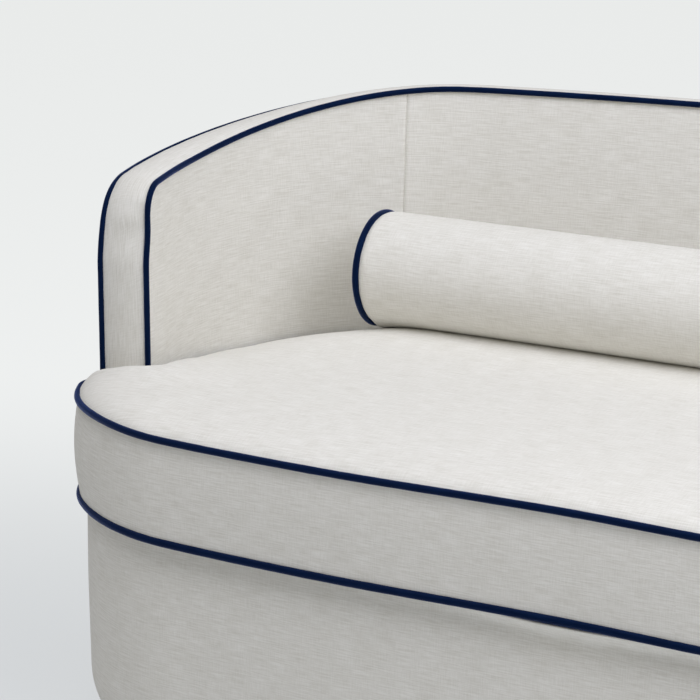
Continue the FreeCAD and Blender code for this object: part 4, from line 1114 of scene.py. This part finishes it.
# %% Settling the bolster on the seat
BOLSTER_PUCKER, PUCKER_RUN = 0.5, 14.0
BOLSTER_SAG = 8.0          # the soft ends settle at most this far onto the sloping seat
END_DROP, DROP_REACH = 4.5, 60.0     # how far the end discs and their piping give way downwards
SETTLE_FROM, SETTLE_RUN = 0.85, 0.13     # share of the radius below the axis where the underside is pressed
LOW_SIDE, SEAT_BELOW, NEAREST = 0.6, 5.0, 4     # the roll's underside, and the seat points that carry it
from_seam = np.repeat(bolster_half - np.abs(section[:, 0]), AROUND)
below = np.tile(-ray[:, 2], rows)
pucker = BOLSTER_PUCKER * hump(from_seam / PUCKER_RUN) * (from_seam > 0.5)
pucker *= ripple(np.tile(angle * BOLSTER_R, rows), (19, 31, 53), 13.0)
plump += np.tile(ray, (rows, 1)) * pucker[:, None]
down = END_DROP * np.clip(-ray[:, 2], 0, 1) ** 2
give = np.outer(np.minimum(section[:, 1] / seam_r, 1) ** 2, down).ravel()
plump[:, 2] -= give * hump(np.maximum(from_seam, 0) / DROP_REACH)
low = np.flatnonzero(below > LOW_SIDE)
seat_top = filled[filled[:, 2] > PIPE_HIGH_Z - SEAT_BELOW]
away = np.linalg.norm(plump[low, None, :2] - seat_top[None, :, :2], axis=2)
near = np.argsort(away, axis=1)[:, :NEAREST]
weight = 1 / (np.take_along_axis(away, near, 1) + 1.0)
rest_z = (seat_top[near, 2] * weight).sum(1) / weight.sum(1) + REST_GAP
rest_z = np.maximum(rest_z, SEAT_Z - BOLSTER_SAG)
pressed = smoothstep((below[low] - SETTLE_FROM) / SETTLE_RUN) * smoothstep(from_seam[low] / PUCKER_RUN)
low_z = plump[low, 2]
plump[low, 2] = np.where(low_z > rest_z, low_z + (rest_z - low_z) * pressed, rest_z)
bolster = make_piece("bolster", plump, bolster_faces, bolster_threads, ivory_linen, "bolster",
                     ["bolster_cover", "bolster_core"], crease=180)
bolster.modifiers.new("smooth", "SUBSURF").render_levels = 1
for side, x in (("left", -bolster_half), ("right", bolster_half)):
    path = axis_point + X_WAY * x + seam_r * ray
    path[:, 2] -= down
    make_piece("bolster_cord_" + side, *tube(path, LOOSE_PIPE_R, True, X_WAY), navy_piping, "bolster",
               ["bolster_piping_" + side])
print("bolster lowest point", round(float(plump[:, 2].min()), 1), "mm")

# %% [markdown]
# ## Zips
# Each cover opens with a zip: a woven tape with a coil down its middle and a small plated slider. The seat's zip
# follows the curve of the cushion's back edge, the bolster's is straight and lies low on its rear. The slider is
# a wedge with a bridge on it and a pull tab, and rides on its own body.

# %% Zips
ZIP_HEIGHT, ZIP_THICK, ZIP_DENT = 24.0, 1.2, 0.35
SEAT_ZIP_HALF, BOLSTER_ZIP_HALF = 520.0, 450.0
COIL_R, COIL_STEP, COIL_HALF = 0.45, 0.8, 1.6
SLIDER_LENGTH = 14.0
# Blocks of the slider: place and size along, out and up, and how far the block narrows at one end
SLIDER = (((0, 1.0, 0), (SLIDER_LENGTH, 1.6, 8.6), 0.72), ((1.0, 2.1, 0), (7.0, 0.8, 2.6), 1.0),
          ((-1.5, 2.2, -9.0), (5.4, 0.7, 16.0), 0.8))
BEVEL = 0.3
BOX_BULGE = 3.0
UP = np.array([0.0, 0.0, 1.0])


def zip_tape_piece(name, path, out, up, body, node):
    """Tape along a path with its coil: out points away from the cover, up across the tape."""
    across = (np.linspace(-0.5, 0.5, 9) * ZIP_HEIGHT)[:, None, None]
    dent = ZIP_DENT * (np.cos(across / ZIP_HEIGHT * 4 * math.pi) - 1)
    back = path[None] + up * across
    make_piece(name, *slab(back + out[None] * (ZIP_THICK + dent), back), zip_tape, body, [node])
    run = run_lengths(path)
    fine = np.arange(0, run[-1], COIL_STEP)
    centre, normal = (np.stack([np.interp(fine, run, line[:, k]) for k in range(3)], -1) for line in (path, out))
    turns = np.where(np.arange(len(fine)) % 2 == 0, COIL_HALF, -COIL_HALF)
    coil = centre + normal * ZIP_THICK + up * turns[:, None]
    make_piece(name + "_coil", *tube(coil, COIL_R), zip_tape, body)


def zip_slider_piece(name, centre, along, out, up, body, node):
    """A slider with its bridge and pull tab, built from bevelled blocks."""
    made = bmesh.new()
    for place, size, narrow in SLIDER:
        for v in bmesh.ops.create_cube(made, size=1.0)["verts"]:
            taper = narrow if v.co.x < 0 else 1.0
            local = np.array(v.co) * size * (1.0, 1.0, taper) + place
            v.co = (centre + along * local[0] + out * local[1] + up * local[2]).tolist()
    bmesh.ops.bevel(made, geom=made.edges[:], offset=BEVEL, segments=2, affect="EDGES")
    made.verts.index_update()
    points = np.array([v.co for v in made.verts])
    faces = [[v.index for v in f.verts] for f in made.faces]
    made.free()
    make_piece(name, points, faces, points[:, :2], zip_metal, body, [node], crease=30)


zip_plan = seat_level(EDGE_GAP)
zip_radius = zip_plan.back_radius + BOX_BULGE + SEAM_GAP
zip_turn = SEAT_ZIP_HALF / zip_plan.back_radius
seat_zip_z = (PIPE_LOW_Z + PIPE_HIGH_Z) / 2
plan, plan_out = arc(zip_plan.back, zip_radius, QUARTER + zip_turn, QUARTER - zip_turn, 90)
zip_tape_piece("seat_zip", lift(plan, seat_zip_z), lift(plan_out, 0.0), UP, "seat_cushion", "seat_cushion_zip")
slip = SLIDER_LENGTH / 2 / zip_plan.back_radius
spot, spot_out = arc(zip_plan.back, zip_radius + ZIP_THICK, QUARTER + zip_turn - slip, 0, 2)
out = np.append(spot_out[0], 0.0)
zip_slider_piece("seat_zip_pull", np.append(spot[0], seat_zip_z), np.array([out[1], -out[0], 0.0]), out, UP,
                 "seat_zip_slider", "seat_cushion_zip_slider")
print("seat zip on a radius of", round(zip_plan.back_radius), "mm")

# %% Bolster zip
TILT = math.radians(-40)
out, up = np.append(0.0, rays(TILT)), np.append(0.0, rays(TILT + QUARTER))
x = np.linspace(-BOLSTER_ZIP_HALF, BOLSTER_ZIP_HALF, 60)
path = axis_point + np.outer(x, X_WAY) + out * (BOLSTER_R + SEAM_GAP)
zip_tape_piece("bolster_zip_tape", path, np.broadcast_to(out, path.shape), up, "bolster", "bolster_zip")
spot = path[0] + out * ZIP_THICK + X_WAY * SLIDER_LENGTH / 2
zip_slider_piece("bolster_zip_pull", spot, X_WAY, out, up, "bolster_zip_slider", "bolster_zip_slider")
print("bolster zip", 2 * BOLSTER_ZIP_HALF, "mm long")

# %% [markdown]
# ## Deck and underside
# Under the cushion lies a deck of lining cloth over a thin pad, seen only when the cushion is lifted. A black dust
# cover closes the underside and sags a little between its staples.

# %% Deck
DECK_INSET, DECK_ROUND, DECK_EDGE = OVERHANG + BASE_COVER + 0.3, 12.0, 2.5
DECK_LOW, DECK_TOP = 345.0, DECK_Z - REST_GAP
deck_ring, inner_ring = cushion_ring(DECK_INSET), cushion_ring(DECK_INSET + DECK_ROUND)
grid, triangles = fill_inside(inner_ring)
deck_points = np.concatenate([lift(inner_ring, DECK_LOW), lift(deck_ring, DECK_LOW),
                              lift(deck_ring, DECK_TOP - DECK_EDGE), lift(inner_ring, DECK_TOP),
                              lift(grid, DECK_TOP), lift(grid, DECK_LOW)])
deck_faces = quads(ring_index(4, ring_size)).tolist()
deck_faces += renumbered(triangles, 3 * ring_size, 4 * ring_size)
deck_faces += renumbered(triangles, 0, 4 * ring_size + len(grid))
deck = make_piece("deck", deck_points, deck_faces, deck_points[:, :2], deck_cloth, "root", ["deck_cloth", "deck_pad"])
print("deck top at", DECK_TOP, "mm")

# %% Dust cover
DUST_INSET, DUST_THICK = 78.0, 0.8
DUST_SAG, SAG_RUN = 5.0, 260.0
DUST_Z = 32.8              # just below the bottom boards
front_line, rear_line = (line - line_out * DUST_INSET for line, line_out in (front_run, rear_run))
outline = np.concatenate([front_line, rear_line[1:-1]])
dust_grid, triangles = fill_inside(outline)
flat = np.concatenate([outline, dust_grid])
count = len(flat)
edge = np.array([np.min(np.linalg.norm(outline - p, axis=1)) for p in flat])
dust_top = lift(flat, DUST_Z - DUST_SAG * smoothstep(edge / SAG_RUN))
rim = np.arange(len(outline))
after = np.roll(rim, -1)
dust_faces = triangles + [[count + v for v in t] for t in triangles]
dust_faces += np.stack([rim, after, count + after, count + rim], -1).tolist()
dust = make_piece("dust_sheet", np.concatenate([dust_top, dust_top - UP * DUST_THICK]), dust_faces,
                  np.concatenate([flat, flat]), dust_cloth, "root", ["dust_cover"])
width, depth = np.ptp(flat, axis=0) * MM
x, y = outline.T

# %% [markdown]
# ## Feet and hidden frame
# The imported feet, glides, bolts, rails and webbing already have the right shape, so they stay and get their
# materials.

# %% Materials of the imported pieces
by_slot = {m.name: m for m in (foot_wood, frame_wood, zip_metal, steel, glide_plastic, jute_webbing)}
slots = {row["node"]: row["material_slot"] for row in frame["record"]["subparts"]}
kept = 0
for name, piece in frame["nodes"].items():
    if slots[name] in by_slot and not piece.hide_render:
        piece.data.materials.clear()
        piece.data.materials.append(by_slot[slots[name]])
        if not piece.data.uv_layers.get(THREAD_MAP):
            layer = piece.data.uv_layers.new(name=THREAD_MAP)
            for loop in piece.data.loops:
                layer.data[loop.index].uv = piece.data.vertices[loop.vertex_index].co.xy
        kept += 1
print("packed pieces kept:", kept)

# %% [markdown]
# ## Floor and light
# The sofa stands on a wide pale floor that is all the camera sees behind it. What the camera and reflections see of
# it is mostly a painted glow, with painted shade that darkens it towards the camera; the rest is the floor's own
# light and shade. Nothing stands behind the sofa, so it can be looked at from the back too. One wide soft box stands
# to the right, one hangs above the front and a weaker one above the left end, so the tops are bright and the fronts
# are calm grey; a dim even sky fills the shade.

# %% Floor
FLOOR = {"Base Color": linear("#E6E8E8"), "Roughness": 0.9, "Specular IOR Level": 0.1}
# painted glow of the floor: darker painted shade near the camera, pale painted light further off
PAINTED_SHADE_NEAR, PAINTED_GLOW_FAR = "#DADDDF", "#FAFCFB"
FLOOR_REACH = 16.0                   # metres from the middle to each edge
VIEW_WAY = (-math.sin(CAMERA_TURN), math.cos(CAMERA_TURN), 0.0)
FADE_NEAR, FADE_FAR = 0.35, 2.1      # metres along that way, from the sofa's middle, where the floor turns pale
# share of the painted glow in what camera and reflections see of the floor
PAINTED_GLOW_SHARE = 0.8                     # the rest is the floor's own light and shade, with the sofa's shadow

floor_material, tree, shader = new_material("studio_floor", FLOOR)
place = add(tree, "TexCoord", {}).outputs["Object"]
depth = add(tree, "VectorMath", {"operation": "DOT_PRODUCT", 1: VIEW_WAY}, {0: place}).outputs["Value"]
ends = {"interpolation_type": "SMOOTHSTEP", "From Min": FADE_NEAR, "From Max": FADE_FAR}
painted_shade_fade = add(tree, "MapRange", ends, {"Value": depth}).outputs["Result"]
# the floor's painted glow, with painted shade towards the camera
painted_glow = add(tree, "Emission", {}, {"Color": blend(tree, painted_shade_fade, PAINTED_SHADE_NEAR, PAINTED_GLOW_FAR)})
path = add(tree, "LightPath", {}).outputs
seen = path["Is Camera Ray"]
for other in ("Is Glossy Ray", "Is Transmission Ray"):
    seen = add(tree, "Math", {"operation": "MAXIMUM"}, {0: seen, 1: path[other]}).outputs[0]
seen = add(tree, "Math", {"operation": "MULTIPLY", 1: PAINTED_GLOW_SHARE}, {0: seen}).outputs[0]
both = add(tree, "MixShader", {}, {0: seen, 1: shader.outputs["BSDF"], 2: painted_glow.outputs["Emission"]})
tree.links.new(both.outputs["Shader"], tree.nodes["Material Output"].inputs["Surface"])
floor_mesh = bpy.data.meshes.new("studio_floor")
corners = [(x * FLOOR_REACH, y * FLOOR_REACH, 0.0) for x, y in ((-1, -1), (1, -1), (1, 1), (-1, 1))]
floor_mesh.from_pydata(corners, [], [[0, 1, 2, 3]])
floor_mesh.materials.append(floor_material)
floor = put("studio_floor", floor_mesh)
print("floor of", 2 * FLOOR_REACH, "m a side")

# %% Light
SKY = {"Color": linear("#FDFBF8"), "Strength": 0.29}
HORIZON = {"Color": linear("#EBEDEC"), "Strength": 1.0}     # what the camera sees past the floor's edge
SOFT_BOX = 2.4             # side in metres
LAMP_COLOUR = "#F3F5FF"
LAMPS = {"side_box": ((2.13, -0.79, 3.05), 76.0), "front_box": ((-0.3, -1.52, 3.76), 38.0),
         "left_box": ((-1.62, -0.76, 3.76), 24.0)}     # place and watts
LAMP_AIM = Vector((-0.3, 0.0, 0.5))

world = bpy.data.worlds.new("studio")
world.use_nodes = True
tree = world.node_tree
tree.nodes.clear()
sky, horizon = (add(tree, "Background", settings).outputs["Background"] for settings in (SKY, HORIZON))
camera_ray = add(tree, "LightPath", {}).outputs["Is Camera Ray"]
seen = add(tree, "MixShader", {}, {0: camera_ray, 1: sky, 2: horizon})
add(tree, "OutputWorld", {}, {"Surface": seen.outputs["Shader"]})
scene.world = world
for name, (place, watts) in LAMPS.items():
    lamp_data = bpy.data.lights.new(name, "AREA")
    lamp_data.shape, lamp_data.size = "SQUARE", SOFT_BOX
    lamp_data.energy, lamp_data.color = watts, linear(LAMP_COLOUR)[:3]
    lamp = put(name, lamp_data)
    lamp.location = place
    lamp.rotation_euler = (Vector(place) - LAMP_AIM).to_track_quat("Z", "Y").to_euler()
print("soft boxes:", ", ".join("%s %.0f W" % (name, lamp[1]) for name, lamp in LAMPS.items()))
